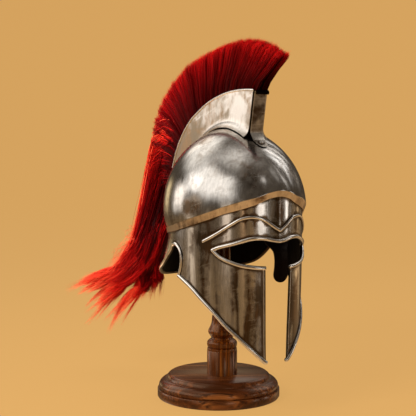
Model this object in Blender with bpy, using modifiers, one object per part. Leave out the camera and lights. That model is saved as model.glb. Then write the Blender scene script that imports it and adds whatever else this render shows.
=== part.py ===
"""Corinthian helmet with a horsehair crest, resting on a turned wooden stand.

Metres, +Z up.  The helmet looks along -Y and its own right side is -X.
The origin is the middle of the stand's underside.  Angles on the helmet are
degrees round its plan from the front (0) to the back (180).  Heights in the
tables are shares of the helmet's height, from the cheek tips (0) to the crown (1).
"""
import math
from collections import namedtuple

import bmesh
import bpy
from mathutils import Vector

# Sheet steel and clearances
SHEET = 0.0012
GAP = 0.0003
RIM_GAP = 0.00045
RIM_DIAMETER = 0.0065
RIM_PROUD = 0.0013
BROW_ROD_WIDTH = 0.0055
BROW_ROD_HEIGHT = 0.0026
# The rod under the eye stops this share of a rod short of the outer corner, inside the brow's rod
EYE_CORNER_TRIM = 0.35

# Where the helmet is held above the floor, and its height
CHIN_HEIGHT = 0.087
HELMET_HEIGHT = 0.353

# Plan of the face plate
FACE_LENGTH = 0.2466
FACE_WIDTH = 0.1956
FACE_FORWARD = 0.0468
CHEEK_DRAW_IN = 0.0027
BROW_CREASE = 0.0022
CREASE_ANGLE = 18.0
NECK_FLARE = 0.0197
# The flare starts below this height and has its full size this much lower; likewise the cheeks' draw in
FLARE_TOP_SHARE = 0.496
FLARE_DEPTH_SHARE = 0.1756
FLARE_CURVE = 1.15
DRAW_IN_TOP_SHARE = 0.462
DRAW_IN_DEPTH_SHARE = 0.453
# Angle where the cheeks end, and the runs over which the flare grows and the draw in fades behind it
TEMPLE_ANGLE = 85.0
FLARE_RUN_ANGLE = 45.0
DRAW_IN_RUN_ANGLE = 30.0
CREASE_FOOT_SHARE = 0.40
CREASE_RISE_SHARE = 0.05

# Plan of the skull
SKULL_LENGTH = 0.271
SKULL_WIDTH = 0.2056
SKULL_FORWARD = 0.044
GIRTH_SHARE = 0.6232
SKULL_TUCK = 0.0085
DOME_FULLNESS = 1.7
CROWN_FULLNESS = 2.2
RIDGE_OVERHANG = 0.0065
RIDGE_STEP = 0.0093
RIDGE_LAP = 0.003
RIDGE_BLEND = 0.045

# Nose guard
NASAL_WIDTH = 0.0256
NASAL_LENGTH = 0.0607
NASAL_BOW = 0.0075
NASAL_SHEET = 0.0016
NASAL_LAP = 0.010

# Crest holder and its front strap
HOLDER_WIDTH = 0.024
HOLDER_FOOT_WIDTH = 0.041
HOLDER_RIM_DIAMETER = 0.005
STRAP_WIDTH = 0.0232
RIVET_DIAMETER = 0.0066
RIVET_HEIGHT = 0.0018

# Horsehair
HAIR_REACH = 0.260
HAIR_TIP_WIDTH = 0.034
TAIL_THICKNESS = 0.052
FAN_INSET = 0.8
LOCK_RELIEF = 0.015
LOCK_GROOVE = 0.15
LOCK_BOW = 0.10
TAIL_CLEAR = 0.006

# Turned stand
BASE_DIAMETER = 0.200
BASE_HEIGHT = 0.038
COLUMN_DIAMETER = 0.049
COLUMN_FORWARD = 0.011
HEAD_DIAMETER = 0.084
HEAD_HEIGHT = 0.0256
HEAD_DROP = 0.016

# How finely the shapes are cut into faces
FOREHEAD_COLUMNS = 9
CHEEK_COLUMNS = 7
TEMPLE_COLUMNS = 5
NAPE_COLUMNS = 6
BAND_ROWS = 3
CHEEK_ROWS = 7
NAPE_ROWS = 6
EAR_CROWD = 1.4
SKULL_ROWS = 9
HOLDER_STATIONS = 24
HAIR_STATIONS = 30
SMOOTHING = 8
ROD_SPACING = 0.0075
BASE_SIDES = 48
COLUMN_SIDES = 24

Row = namedtuple("Row", "angle height")
Share = namedtuple("Share", "angle share")
Tongue = namedtuple("Tongue", "below half_width bow")
Side = namedtuple("Side", "way root_part tip_part")
Outline = namedtuple("Outline", "deep across")
Mould = namedtuple("Mould", "radius height")
Tuft = namedtuple("Tuft", "tip_angle reach width")
Bend = namedtuple("Bend", "right back height across deep")
Lock = namedtuple("Lock", "start_bend side right back height thickness")

# Upper edge of the ridge where the skull stands out over the face plate
RIDGE = (
    Row(0, 0.726), Row(11, 0.717), Row(19, 0.701), Row(31, 0.685), Row(46, 0.660), Row(61, 0.629),
    Row(80, 0.594), Row(99, 0.564), Row(125, 0.538), Row(150, 0.526), Row(180, 0.522),
)
# Height of the step under the ridge at each place, as a share of RIDGE_STEP
STEP = (
    Share(0, 1.0), Share(15, 1.08), Share(31, 1.32), Share(46, 1.23), Share(61, 1.17), Share(80, 1.10),
    Share(99, 0.98), Share(125, 0.75), Share(180, 0.70),
)
# How far the ridge stands out at each place, as a share of RIDGE_OVERHANG
OVERHANG = (
    Share(0, 1.0), Share(45, 0.95), Share(90, 0.55), Share(120, 0.5), Share(150, 0.65), Share(180, 0.75),
)
# Brow edge from the nose to the outer corner of the eye
BROW = (
    Row(0, 0.512), Row(6.5, 0.517), Row(13, 0.5246), Row(20, 0.5265), Row(26.5, 0.5227),
    Row(32, 0.5144), Row(39, 0.5034), Row(46.4, 0.4924), Row(52, 0.483), Row(56.3, 0.4725),
)
# Lower edge of the eye, from the gap between the cheeks to the outer corner
EYE_LOWER = (
    Row(12.8, 0.400), Row(21, 0.403), Row(30, 0.409), Row(35.5, 0.415), Row(41, 0.4244),
    Row(46, 0.4343), Row(51, 0.4484), Row(56.3, 0.4725),
)
# Slanting lower edge of the cheek guard, from its tip back to the ear
CHEEK_EDGE = (
    Row(11.3, 0.0), Row(14, 0.0085), Row(25, 0.058), Row(36, 0.109), Row(46, 0.156), Row(56, 0.2096),
    Row(66.5, 0.2578), Row(78, 0.3068), Row(92, 0.3456),
)
CHEEK_EDGE_TEMPLE_ROW = 5
# Edge of the ear notch, up its front, over the top and down to the neck guard
EAR_FRONT = (
    Row(92, 0.3456), Row(90, 0.3697), Row(88.4, 0.4068), Row(88.6, 0.4374), Row(90.5, 0.4603),
    Row(94.2, 0.4759), Row(98.3, 0.4816),
)
EAR_BACK = (
    Row(98.3, 0.4816), Row(102.5, 0.4745), Row(105, 0.4533), Row(109.5, 0.4292), Row(116, 0.3952),
    Row(122, 0.3697), Row(128, 0.3527), Row(136, 0.3399),
)
# Lower edge of the neck guard to the middle of the back
NECK_EDGE = (Row(136, 0.3399), Row(144, 0.3229), Row(156, 0.3116), Row(180, 0.3074))
# Nose guard behind the brow: distance below its edge as a share of NASAL_LAP, half width, share of the bow
NASAL_ROOT = (Tongue(-1.0, 1.75, 0.0), Tongue(-0.35, 1.75, 0.0), Tongue(0.35, 1.60, 0.0))
# The same below the brow, the distance as a share of NASAL_LENGTH
NASAL_TONGUE = (
    Tongue(0.13, 1.25, 0.30), Tongue(0.24, 0.98, 0.75), Tongue(0.42, 0.90, 1.0), Tongue(0.62, 0.92, 1.0),
    Tongue(0.80, 1.0, 0.94), Tongue(0.90, 0.88, 0.86), Tongue(0.97, 0.56, 0.80), Tongue(1.0, 0.22, 0.78),
)
NASAL_ACROSS = (-1.0, -0.6, -0.2, 0.2, 0.6, 1.0)
# Share of the brow's curve across that the tongue keeps, and how far down it takes the rest
NASAL_CURVE_KEPT = 0.6
NASAL_FLATTEN_SHARE = 0.3
# Raised rod over the brows, a V at the nose and a tail at each temple
BROW_ROD = (
    Row(0, 0.5575), Row(4.5, 0.5703), Row(8.5, 0.584), Row(12.5, 0.5977), Row(18, 0.6105),
    Row(26, 0.6142), Row(33.5, 0.6057), Row(39, 0.5898), Row(45.2, 0.5688), Row(51.5, 0.5462),
    Row(58.6, 0.5238), Row(64.3, 0.5079),
)
# Upper edge of the crest holder, about the skull's middle, as shares of HELMET_HEIGHT
HOLDER_TOP = (
    Share(-22.2, 0.567), Share(-13, 0.5436), Share(-3, 0.5263), Share(7.6, 0.5145), Share(17.3, 0.5102),
    Share(27.8, 0.5094), Share(36.7, 0.5161), Share(51.8, 0.5224), Share(64.4, 0.5246),
    Share(75, 0.5198), Share(85, 0.507), Share(93, 0.490),
)
# Half of the holder's section: share of the way from foot to top, share of its spread
HOLDER_SECTION = ((0.0, 1.0), (0.05, 0.52), (0.12, 0.17), (0.24, 0.0), (0.62, 0.0), (1.0, 0.0))
HOLDER_FOOT_FRONT = -28.3
HOLDER_BACK = 93.0
# Front strap: distance behind the skull's middle and height over it, shares of HELMET_HEIGHT
STRAP_PATH = ((-0.2195, 0.5226), (-0.2040, 0.4360), (-0.1884, 0.3540), (-0.1890, 0.3440), (-0.1945, 0.3350))
STRAP_TONGUE = (
    Share(-33.5, 0.90), Share(-36.2, 0.86), Share(-38.6, 0.74), Share(-40.4, 0.52), Share(-41.4, 0.22),
)
RIVET_ANGLE = -36.7
# Outline of the hair fan from front to back: shares of HAIR_REACH and HAIR_TIP_WIDTH
FAN = (
    Tuft(-31.4, 1.062, 0.50), Tuft(-20.5, 1.055, 0.62), Tuft(-9.5, 1.037, 0.70), Tuft(3.0, 1.016, 0.78),
    Tuft(14.6, 1.014, 0.84), Tuft(28.0, 1.049, 0.92), Tuft(41.0, 1.073, 1.0), Tuft(53.0, 1.090, 1.10),
    Tuft(64.0, 1.068, 1.22), Tuft(75.0, 1.052, 1.36), Tuft(88.0, 1.086, 1.50),
)
# One side of the fan's section: share of the way from brim to tip, and shares of root and tip half widths
FAN_SIDES = (Side(0.22, 0.75, 0.25), Side(0.60, 0.0, 0.86), Side(0.90, 0.0, 1.0), Side(0.985, 0.0, 0.62))
# Hair hanging behind the neck: middle of each bend and its half sizes, shares of TAIL_THICKNESS
TAIL = (
    Bend(-0.10, 3.36, 5.20, 0.55, 1.46), Bend(-0.25, 3.48, 4.68, 0.57, 1.37),
    Bend(-0.52, 3.54, 4.16, 0.56, 1.10), Bend(-0.90, 3.74, 3.67, 0.50, 0.88),
    Bend(-1.28, 4.13, 3.34, 0.40, 0.64), Bend(-1.62, 4.52, 3.13, 0.26, 0.38),
)
# One side of the tail's section, shares of a bend's half sizes
TAIL_SIDES = (
    Outline(-0.97, 0.42), Outline(-0.60, 0.86), Outline(-0.15, 1.0), Outline(0.42, 0.90), Outline(0.80, 0.60),
    Outline(0.95, 0.30),
)
# How the deep and the across way of the section have turned (right, back, up) at the last bend
TAIL_DEEP_TURN = (-0.35, -0.2, 0.9)
TAIL_ACROSS_TURN = (0.0, 0.35, 0.0)
# Where a lock leaves its bend, shares of the bend's depth back and up
LOCK_LEAVES = (0.7, 0.6)
LOCK_STATIONS = 4
LOCK_SIDES = 6
LOCK_FLATNESS = 1.5
LOCK_TAPER = 0.88
# Locks that leave the tail: their bend and side of it, and where they end, shares of TAIL_THICKNESS
LOCKS = (
    Lock(4, 0.85, -2.85, 5.31, 2.96, 0.21),
    Lock(4, 0.35, -2.50, 5.17, 2.76, 0.21),
    Lock(4, 0.00, -2.21, 5.24, 2.29, 0.22),
    Lock(4, -0.40, -2.08, 5.37, 1.66, 0.21),
    Lock(3, -0.70, -1.54, 4.88, 1.47, 0.21),
    Lock(3, -0.92, -1.19, 3.62, 2.53, 0.20),
    Lock(2, -0.86, -0.48, 3.80, 2.63, 0.18),
)
# Turned outlines, down the outer side: shares of the base and of the column
BASE_PROFILE = (
    Mould(0.0, 1.0), Mould(0.805, 1.0), Mould(0.83, 0.93), Mould(0.84, 0.80), Mould(0.90, 0.74),
    Mould(0.965, 0.62), Mould(0.985, 0.44), Mould(1.0, 0.36), Mould(1.0, 0.06), Mould(0.985, 0.0),
    Mould(0.0, 0.0),
)
COLUMN_PROFILE = (
    Mould(0.55, 1.0), Mould(0.55, 0.90), Mould(0.57, 0.31), Mould(0.66, 0.262), Mould(0.68, 0.240),
    Mould(0.73, 0.225), Mould(0.83, 0.209), Mould(0.915, 0.197), Mould(0.90, 0.186), Mould(0.82, 0.176),
    Mould(0.72, 0.166), Mould(0.73, 0.161), Mould(0.93, 0.149), Mould(1.0, 0.141), Mould(1.0, 0.131),
    Mould(0.95, 0.122), Mould(0.91, 0.119), Mould(0.98, 0.116), Mould(0.98, 0.109), Mould(1.0, 0.106),
    Mould(1.0, 0.0),
)


def share_height(share):
    """World height of a share of the helmet's height."""
    return CHIN_HEIGHT + share * HELMET_HEIGHT


def ease(share):
    """Smooth step from 0 to 1."""
    share = min(max(share, 0.0), 1.0)
    return share * share * (3 - 2 * share)


def smooth_path(rows):
    """Catmull-Rom curve through rows of two columns, SMOOTHING steps to a row."""
    path = []
    for index in range(len(rows) - 1):
        here, there = rows[index], rows[index + 1]
        before = rows[max(index - 1, 0)]
        after = rows[min(index + 2, len(rows) - 1)]
        for step in range(SMOOTHING):
            t = step / SMOOTHING
            path.append(tuple(
                b + 0.5 * (c - a) * t + (a - 2.5 * b + 2 * c - 0.5 * d) * t**2
                + 0.5 * (3 * b - a - 3 * c + d) * t**3
                for a, b, c, d in zip(before, here, there, after)
            ))
    path.append(tuple(rows[-1]))
    return path


def level_front(rows):
    """Rows with the second one mirrored to the other side of 0, so the curve is level at the front."""
    return (type(rows[0])(-rows[1][0], rows[1][1]),) + tuple(rows)


def lookup(path, angle):
    """Second column of a path at a value of its first column."""
    angle = min(max(angle, path[0][0]), path[-1][0])
    for (a, value_a), (b, value_b) in zip(path, path[1:]):
        if angle <= b:
            return value_a + (value_b - value_a) * ((angle - a) / (b - a) if b > a else 0.0)
    return path[-1][1]


RIDGE_PATH = smooth_path(level_front(RIDGE))
STEP_PATH = smooth_path(level_front(STEP))
OVERHANG_PATH = smooth_path(level_front(OVERHANG))
HOLDER_TOP_PATH = smooth_path(HOLDER_TOP)


def ridge_height(angle):
    """World height of the ridge."""
    return share_height(lookup(RIDGE_PATH, abs(angle)))


def step_foot(angle):
    """World height of the foot of the step under the ridge."""
    return ridge_height(angle) - RIDGE_STEP * lookup(STEP_PATH, abs(angle))


def face_spread(angle, height):
    """Scale of the face plate's plan: neck flare at the back, cheeks drawn in at the bottom."""
    behind_ear = ease((abs(angle) - TEMPLE_ANGLE) / FLARE_RUN_ANGLE)
    below_nape = max(share_height(FLARE_TOP_SHARE) - height, 0.0) / (FLARE_DEPTH_SHARE * HELMET_HEIGHT)
    flare = 1 + NECK_FLARE / (FACE_LENGTH / 2) * below_nape ** FLARE_CURVE * behind_ear
    before_ear = 1 - ease((abs(angle) - TEMPLE_ANGLE) / DRAW_IN_RUN_ANGLE)
    below_eye = ease((share_height(DRAW_IN_TOP_SHARE) - height) / (DRAW_IN_DEPTH_SHARE * HELMET_HEIGHT))
    return flare * (1 - CHEEK_DRAW_IN / (FACE_WIDTH / 2) * below_eye * before_ear)


def face_point(angle, height, out=0.0):
    """Point of the face plate's outer face, moved outwards by out."""
    turn = math.radians(angle)
    spread = face_spread(angle, height)
    half_width = FACE_WIDTH / 2 * spread + out
    half_length = FACE_LENGTH / 2 * spread + out
    crease = BROW_CREASE * max(1 - abs(angle) / CREASE_ANGLE, 0.0) ** 1.5
    crease *= ease((height - share_height(CREASE_FOOT_SHARE)) / (CREASE_RISE_SHARE * HELMET_HEIGHT))
    return Vector((
        half_width * math.sin(turn), -FACE_FORWARD - half_length * math.cos(turn) - crease, height,
    ))


def local_scale(angle, height):
    """Metres along the face plate to a degree of angle."""
    step = 0.5
    return (face_point(angle + step, height) - face_point(angle - step, height)).length / (2 * step)


def to_real(points):
    """Path on the face plate from (angle, share) to (angle, height)."""
    return [(angle, share_height(share)) for angle, share in points]


def resample(points, count, crowd=1.0):
    """The path cut into count steps of real length, even or crowded towards its start."""
    spots = [face_point(angle, height) for angle, height in points]
    run = [0.0]
    for a, b in zip(spots, spots[1:]):
        run.append(run[-1] + (b - a).length)
    picked = []
    for index in range(count + 1):
        want = run[-1] * (index / count) ** crowd
        at = max(i for i in range(len(run)) if run[i] <= want + 1e-9)
        at = min(at, len(run) - 2)
        t = (want - run[at]) / (run[at + 1] - run[at])
        picked.append(tuple(a + (b - a) * t for a, b in zip(points[at], points[at + 1])))
    return picked


def path_length(points):
    """Real length of a path on the face plate."""
    spots = [face_point(angle, height) for angle, height in points]
    return sum((b - a).length for a, b in zip(spots, spots[1:]))


def shifted(points, distance, before=None, after=None):
    """The path moved to its left on the sheet, mitred at its corners.

    On the outer side of a bend it moves a little further, so that its straight
    steps clear a rod that follows the true curve.
    """
    moved = []
    for index, (angle, height) in enumerate(points):
        scale = local_scale(angle, height)
        previous = points[index - 1] if index else before
        following = points[index + 1] if index < len(points) - 1 else after
        sides, lengths = [], []
        for a, b in ((previous, (angle, height)), ((angle, height), following)):
            run, rise = (b[0] - a[0]) * scale, b[1] - a[1]
            lengths.append(math.hypot(run, rise))
            sides.append(Vector((-rise, run)) / lengths[-1])
        bend = math.copysign(1.0, distance) * sides[1].angle_signed(sides[0], 0.0)
        slack = max(-bend, 0.0) * max(lengths) / 7
        normal = (sides[0] + sides[1]) / 2
        normal *= math.copysign(abs(distance) + slack, distance) / normal.length_squared
        moved.append((angle + normal.x / scale, height + normal.y))
    return moved


def rim_inset(diameter, proud):
    """How far a sheet stops short of the axis of the rod on its edge, the axis standing proud of its face."""
    return math.sqrt((diameter / 2 + RIM_GAP) ** 2 - max(proud, 0.0) ** 2)


def patch(bottom, top, left, right):
    """Grid of (angle, height) between four edges, each row running from left to right."""
    rows = len(left) - 1
    columns = len(bottom) - 1
    grid = []
    for j in range(rows + 1):
        v = j / rows
        line = []
        for i in range(columns + 1):
            u = i / columns
            line.append(tuple(
                (1 - v) * bottom[i][k] + v * top[i][k] + (1 - u) * left[j][k] + u * right[j][k]
                - (1 - u) * (1 - v) * bottom[0][k] - u * (1 - v) * bottom[-1][k]
                - (1 - u) * v * top[0][k] - u * v * top[-1][k]
                for k in (0, 1)
            ))
        grid.append(line)
    return grid


def blend_rows(bottom, top, rows):
    """Grid of (angle, height) ruled between two edges."""
    return [
        [tuple(a + (b - a) * j / rows for a, b in zip(low, high)) for low, high in zip(bottom, top)]
        for j in range(rows + 1)
    ]


def add_grid(mesh, grid):
    """Faces of a grid of points given row by row from bottom to top, facing out to the left of travel."""
    verts = [[mesh.verts.new(point) for point in line] for line in grid]
    for low, high in zip(verts, verts[1:]):
        for a, b, c, d in zip(low, low[1:], high[1:], high):
            mesh.faces.new((a, b, c, d))


def skull_profile(height):
    """Scale of the skull's plan at a height: a full dome over the girth, tucked in below it."""
    girth = share_height(GIRTH_SHARE)
    if height > girth:
        rise = min((height - girth) / (share_height(1.0) - girth), 1.0)
        return (1 - rise ** CROWN_FULLNESS) ** (1 / DOME_FULLNESS)
    return 1 - SKULL_TUCK / (SKULL_LENGTH / 2) * ((girth - height) / (0.1 * HELMET_HEIGHT)) ** 2


def ridge_scale(angle):
    """Scale of the skull's plan where its lower edge overhangs the face plate."""
    turn = math.radians(angle)
    overhang = RIDGE_OVERHANG * lookup(OVERHANG_PATH, abs(angle))
    side = SKULL_WIDTH / 2 * math.sin(turn) / (FACE_WIDTH / 2 + overhang)
    ahead = SKULL_LENGTH / 2 * math.cos(turn) / (FACE_LENGTH / 2 + overhang)
    shift = (SKULL_FORWARD - FACE_FORWARD) / (FACE_LENGTH / 2 + overhang)
    square = side ** 2 + ahead ** 2
    return (-ahead * shift + math.sqrt((ahead * shift) ** 2 - square * (shift ** 2 - 1))) / square


def skull_scale(angle, height):
    """Scale of the skull's plan, drawn to the ridge over its lowest part."""
    ridge = ridge_height(angle)
    pull = ease((ridge + RIDGE_BLEND - height) / RIDGE_BLEND)
    return skull_profile(height) + (ridge_scale(angle) - skull_profile(ridge)) * pull


def skull_point(angle, height, out=0.0):
    """Point of the skull's outer face, moved outwards level by out."""
    turn = math.radians(angle)
    scale = skull_scale(angle, height)
    return Vector((
        (SKULL_WIDTH / 2 * scale + out) * math.sin(turn),
        -SKULL_FORWARD - (SKULL_LENGTH / 2 * scale + out) * math.cos(turn),
        height,
    ))


def over_skull(angle, right=0.0, clear=0.0):
    """Point above the skull on a ray in a fore-and-aft plane, from the skull's middle at its girth.

    The ray's angle is 0 straight up and 90 straight back; clear is the distance off the skull.
    """
    turn = math.radians(angle)
    middle = Vector((right, -SKULL_FORWARD, share_height(GIRTH_SHARE)))
    ray = Vector((0.0, math.sin(turn), math.cos(turn)))
    near, far = 0.0, HELMET_HEIGHT
    for _ in range(40):
        reach = (near + far) / 2
        spot = middle + ray * reach
        side = spot.x / (SKULL_WIDTH / 2)
        ahead = -(spot.y + SKULL_FORWARD) / (SKULL_LENGTH / 2)
        plan_angle = math.degrees(math.atan2(abs(side), ahead))
        if spot.z > share_height(1.0) or math.hypot(side, ahead) > skull_scale(plan_angle, spot.z):
            far = reach
        else:
            near = reach
    return middle + ray * (far + clear)


def material(name, colour, roughness, metallic):
    """Plain Principled material."""
    made = bpy.data.materials.new(name)
    made.use_nodes = True
    shader = made.node_tree.nodes["Principled BSDF"]
    shader.inputs["Base Color"].default_value = (*colour, 1.0)
    shader.inputs["Roughness"].default_value = roughness
    shader.inputs["Metallic"].default_value = metallic
    made.diffuse_color = (*colour, 1.0)
    return made


def keep(name, mesh_data, look, collection):
    """New object of a mesh, with its material, in a collection."""
    thing = bpy.data.objects.new(name, mesh_data)
    thing.data.materials.append(look)
    collection.objects.link(thing)
    return thing


def finished_mesh(name, mesh, smooth_angle=35.0):
    """Mesh data of a bmesh, welded, its faces shaded smooth between sharp edges."""
    bmesh.ops.remove_doubles(mesh, verts=mesh.verts, dist=0.00002)
    data = bpy.data.meshes.new(name)
    mesh.to_mesh(data)
    mesh.free()
    data.shade_smooth()
    data.set_sharp_from_angle(angle=math.radians(smooth_angle))
    return data


def add_sheet_thickness(thing, thickness):
    """Solidify inwards from the outer face."""
    solid = thing.modifiers.new("sheet", "SOLIDIFY")
    solid.thickness = thickness
    solid.offset = -1.0
    solid.use_even_offset = True


def add_mirror(thing):
    """Mirror the half at +X over to -X."""
    mirror = thing.modifiers.new("mirror", "MIRROR")
    mirror.use_axis = (True, False, False)
    mirror.use_clip = True
    mirror.merge_threshold = 0.00002


def rod(name, spots, diameter, look, collection):
    """Round rod along a polyline, with filled ends."""
    curve = bpy.data.curves.new(name, "CURVE")
    curve.dimensions = "3D"
    curve.bevel_depth = diameter / 2
    curve.bevel_resolution = 1
    curve.use_fill_caps = True
    line = curve.splines.new("POLY")
    line.points.add(len(spots) - 1)
    for point, spot in zip(line.points, spots):
        point.co = (*spot, 1.0)
    line.use_smooth = True
    return keep(name, curve, look, collection)


def as_mesh(thing):
    """The curve object as a welded mesh object of the same name."""
    graph = bpy.context.evaluated_depsgraph_get()
    data = bpy.data.meshes.new_from_object(thing.evaluated_get(graph))
    mesh = bmesh.new()
    mesh.from_mesh(data)
    bmesh.ops.remove_doubles(mesh, verts=mesh.verts, dist=0.00001)
    mesh.to_mesh(data)
    mesh.free()
    name, collection = thing.name, thing.users_collection[0]
    look = thing.data.materials[0]
    place = thing.matrix_world.copy()
    bpy.data.objects.remove(thing)
    data.materials.clear()
    made = keep(name, data, look, collection)
    made.matrix_world = place
    return made


def join(thing, others, cutters):
    """Boolean union of solids, kept as modifiers; the joined ones become guides."""
    for other in others:
        union = thing.modifiers.new("join " + other.name, "BOOLEAN")
        union.operation = "UNION"
        union.solver = "EXACT"
        union.object = other
        for collection in list(other.users_collection):
            collection.objects.unlink(other)
        cutters.objects.link(other)
        other.hide_render = True
        other.display_type = "WIRE"


def turned(name, profile, sides, place, look, collection):
    """Solid turned about +Z from an outline that runs down its outer side."""
    mesh = bmesh.new()
    verts = [mesh.verts.new((radius, 0.0, height)) for radius, height in profile]
    for a, b in zip(verts, verts[1:]):
        mesh.edges.new((a, b))
    data = bpy.data.meshes.new(name)
    mesh.to_mesh(data)
    mesh.free()
    thing = keep(name, data, look, collection)
    thing.location = place
    screw = thing.modifiers.new("turned", "SCREW")
    screw.axis = "Z"
    screw.steps = sides
    screw.render_steps = sides
    screw.use_merge_vertices = True
    screw.merge_threshold = 0.00001
    screw.use_smooth_shade = True
    return thing


def face_edges():
    """Edges of the face plate, each a list of (angle, height) set back from the rod on it."""
    inset = rim_inset(RIM_DIAMETER, RIM_PROUD)
    eye = resample(to_real(smooth_path(EYE_LOWER)), CHEEK_COLUMNS - 1)
    brow = resample(to_real(smooth_path(BROW))[::-1], FOREHEAD_COLUMNS - 1)
    corner = (eye[-1][0] + inset / local_scale(*eye[-1]), eye[-1][1])
    beyond_eye = tuple(2 * a - b for a, b in zip(eye[-1], eye[-2]))
    before_brow = tuple(2 * a - b for a, b in zip(brow[0], brow[1]))
    eye = shifted(eye, -inset, (eye[0][0] - 1, eye[0][1]), beyond_eye)
    brow = shifted(brow, -inset, before_brow, (-brow[-2][0], brow[-2][1]))
    brow[-1] = (0.0, brow[-1][1])

    edge = to_real(smooth_path(CHEEK_EDGE))
    split = CHEEK_EDGE_TEMPLE_ROW * SMOOTHING
    cheek = resample(edge[:split + 1], CHEEK_COLUMNS)
    temple = resample(edge[split:], TEMPLE_COLUMNS)
    ear_front = resample(to_real(smooth_path(EAR_FRONT))[::-1], CHEEK_ROWS, EAR_CROWD)[::-1]
    ear_back = resample(to_real(smooth_path(EAR_BACK)), NAPE_ROWS, EAR_CROWD)
    nape = resample(to_real(smooth_path(NECK_EDGE)), NAPE_COLUMNS)
    loop = cheek + temple[1:] + ear_front[1:] + ear_back[1:] + nape[1:]
    beyond = (360 - nape[-2][0], nape[-2][1])
    loop = shifted(loop, inset, (cheek[0][0] - 1, cheek[0][1]), beyond)
    loop[-1] = (180.0, loop[-1][1])
    edges = {"eye": eye + [corner], "brow": [corner] + brow}
    start = 0
    for name, count in (
        ("cheek", CHEEK_COLUMNS), ("temple", TEMPLE_COLUMNS), ("ear_front", CHEEK_ROWS),
        ("ear_back", NAPE_ROWS), ("nape", NAPE_COLUMNS),
    ):
        edges[name] = loop[start:start + count + 1]
        start += count
    return edges


def even_steps(start, end, count):
    """Straight run of (angle, height) from start to end."""
    return [tuple(a + (b - a) * i / count for a, b in zip(start, end)) for i in range(count + 1)]


def make_face_plate(look, collection):
    """Forehead band, cheek guards and flared neck guard, one sheet open at the face and ears."""
    edges = face_edges()
    top_corner, tip = edges["eye"][0], edges["cheek"][0]
    corner, crown_of_ear = edges["eye"][-1], edges["ear_front"][-1]
    waist_temple = even_steps(corner, crown_of_ear, TEMPLE_COLUMNS)
    waist_nape = even_steps(crown_of_ear, (180.0, crown_of_ear[1]), NAPE_COLUMNS)
    column = even_steps(edges["cheek"][-1], corner, CHEEK_ROWS)

    waist = edges["brow"][::-1] + waist_temple[1:] + waist_nape[1:]
    hidden_top = []
    for angle, _ in waist:
        hidden_top.append((angle, step_foot(angle) + RIDGE_LAP))
    back = even_steps(edges["nape"][-1], waist_nape[-1], NAPE_ROWS)
    grids = (
        blend_rows(waist, hidden_top, BAND_ROWS),
        patch(edges["cheek"], edges["eye"], even_steps(tip, top_corner, CHEEK_ROWS), column),
        patch(edges["temple"], waist_temple, column, edges["ear_front"]),
        patch(edges["nape"], waist_nape, edges["ear_back"][::-1], back),
    )
    mesh = bmesh.new()
    for grid in grids:
        add_grid(mesh, [[face_point(angle, height) for angle, height in line] for line in grid])
    plate = keep("face_plate", finished_mesh("face_plate", mesh), look, collection)
    add_mirror(plate)
    add_sheet_thickness(plate, SHEET)


def make_skull(look, collection):
    """Dome of the helmet down to its ridge, with the turned-in step under the ridge."""
    edges = face_edges()
    angles = [angle for angle, _ in edges["brow"][::-1]]
    ear = edges["ear_front"][-1][0]
    angles += [angle for angle, _ in even_steps((angles[-1], 0), (ear, 0), TEMPLE_COLUMNS)][1:]
    angles += [angle for angle, _ in even_steps((ear, 0), (180.0, 0), NAPE_COLUMNS)][1:]
    crown = share_height(1.0)
    step_out = SHEET * 1.25 + GAP
    grid = [[], []]
    for angle in angles:
        grid[0].append(face_point(angle, step_foot(angle), step_out))
        grid[1].append(skull_point(angle, ridge_height(angle)))
    for row in range(SKULL_ROWS - 1, 0, -1):
        share = math.cos(math.pi / 2 * row / SKULL_ROWS)
        line = []
        for angle in angles:
            ridge = ridge_height(angle)
            line.append(skull_point(angle, ridge + (crown - ridge) * share))
        grid.append(line)
    grid.append([Vector((0.0, -SKULL_FORWARD, crown)) for _ in angles])
    mesh = bmesh.new()
    add_grid(mesh, grid[:-1])
    mesh.verts.ensure_lookup_table()
    ring = mesh.verts[-len(angles):]
    pole = mesh.verts.new(grid[-1][0])
    for a, b in zip(list(ring), list(ring)[1:]):
        mesh.faces.new((a, b, pole))
    skull = keep("skull", finished_mesh("skull", mesh), look, collection)
    add_mirror(skull)
    add_sheet_thickness(skull, SHEET)


def make_nasal(look, collection):
    """Nose guard: a tongue of sheet fixed behind the brow, bowed forward and rounded at its tip."""
    brow = share_height(BROW[0].height)
    rows = [Tongue(row.below * NASAL_LAP, row.half_width, row.bow) for row in NASAL_ROOT]
    rows += [Tongue(row.below * NASAL_LENGTH, row.half_width, row.bow) for row in NASAL_TONGUE]
    rear = max(SHEET, RIM_DIAMETER / 2 - RIM_PROUD) + GAP
    crest = face_point(0, brow, -rear).y
    grid = []
    for row in rows[::-1]:
        flat = 1 - ease(row.below / (NASAL_FLATTEN_SHARE * NASAL_LENGTH))
        curve = NASAL_CURVE_KEPT + (1 - NASAL_CURVE_KEPT) * flat
        line = []
        for share in NASAL_ACROSS:
            side = share * row.half_width * NASAL_WIDTH / 2
            turn = math.degrees(math.asin(side / (FACE_WIDTH / 2)))
            spot = face_point(turn, brow, -rear)
            level = crest + (spot.y - crest) * curve
            line.append(Vector((side, level - NASAL_BOW * row.bow, brow - row.below)))
        grid.append(line)
    mesh = bmesh.new()
    add_grid(mesh, grid)
    nasal = keep("nasal_guard", finished_mesh("nasal_guard", mesh), look, collection)
    add_sheet_thickness(nasal, NASAL_SHEET)


def on_face(path, proud):
    """Rod axis along a path on the face plate, cut into even steps."""
    count = max(int(round(path_length(path) / ROD_SPACING)), 3)
    return [face_point(angle, height, proud) for angle, height in resample(path, count)]


def mirrored(spots):
    """The same points on the other side of the helmet."""
    return [Vector((-spot.x, spot.y, spot.z)) for spot in spots]


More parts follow.
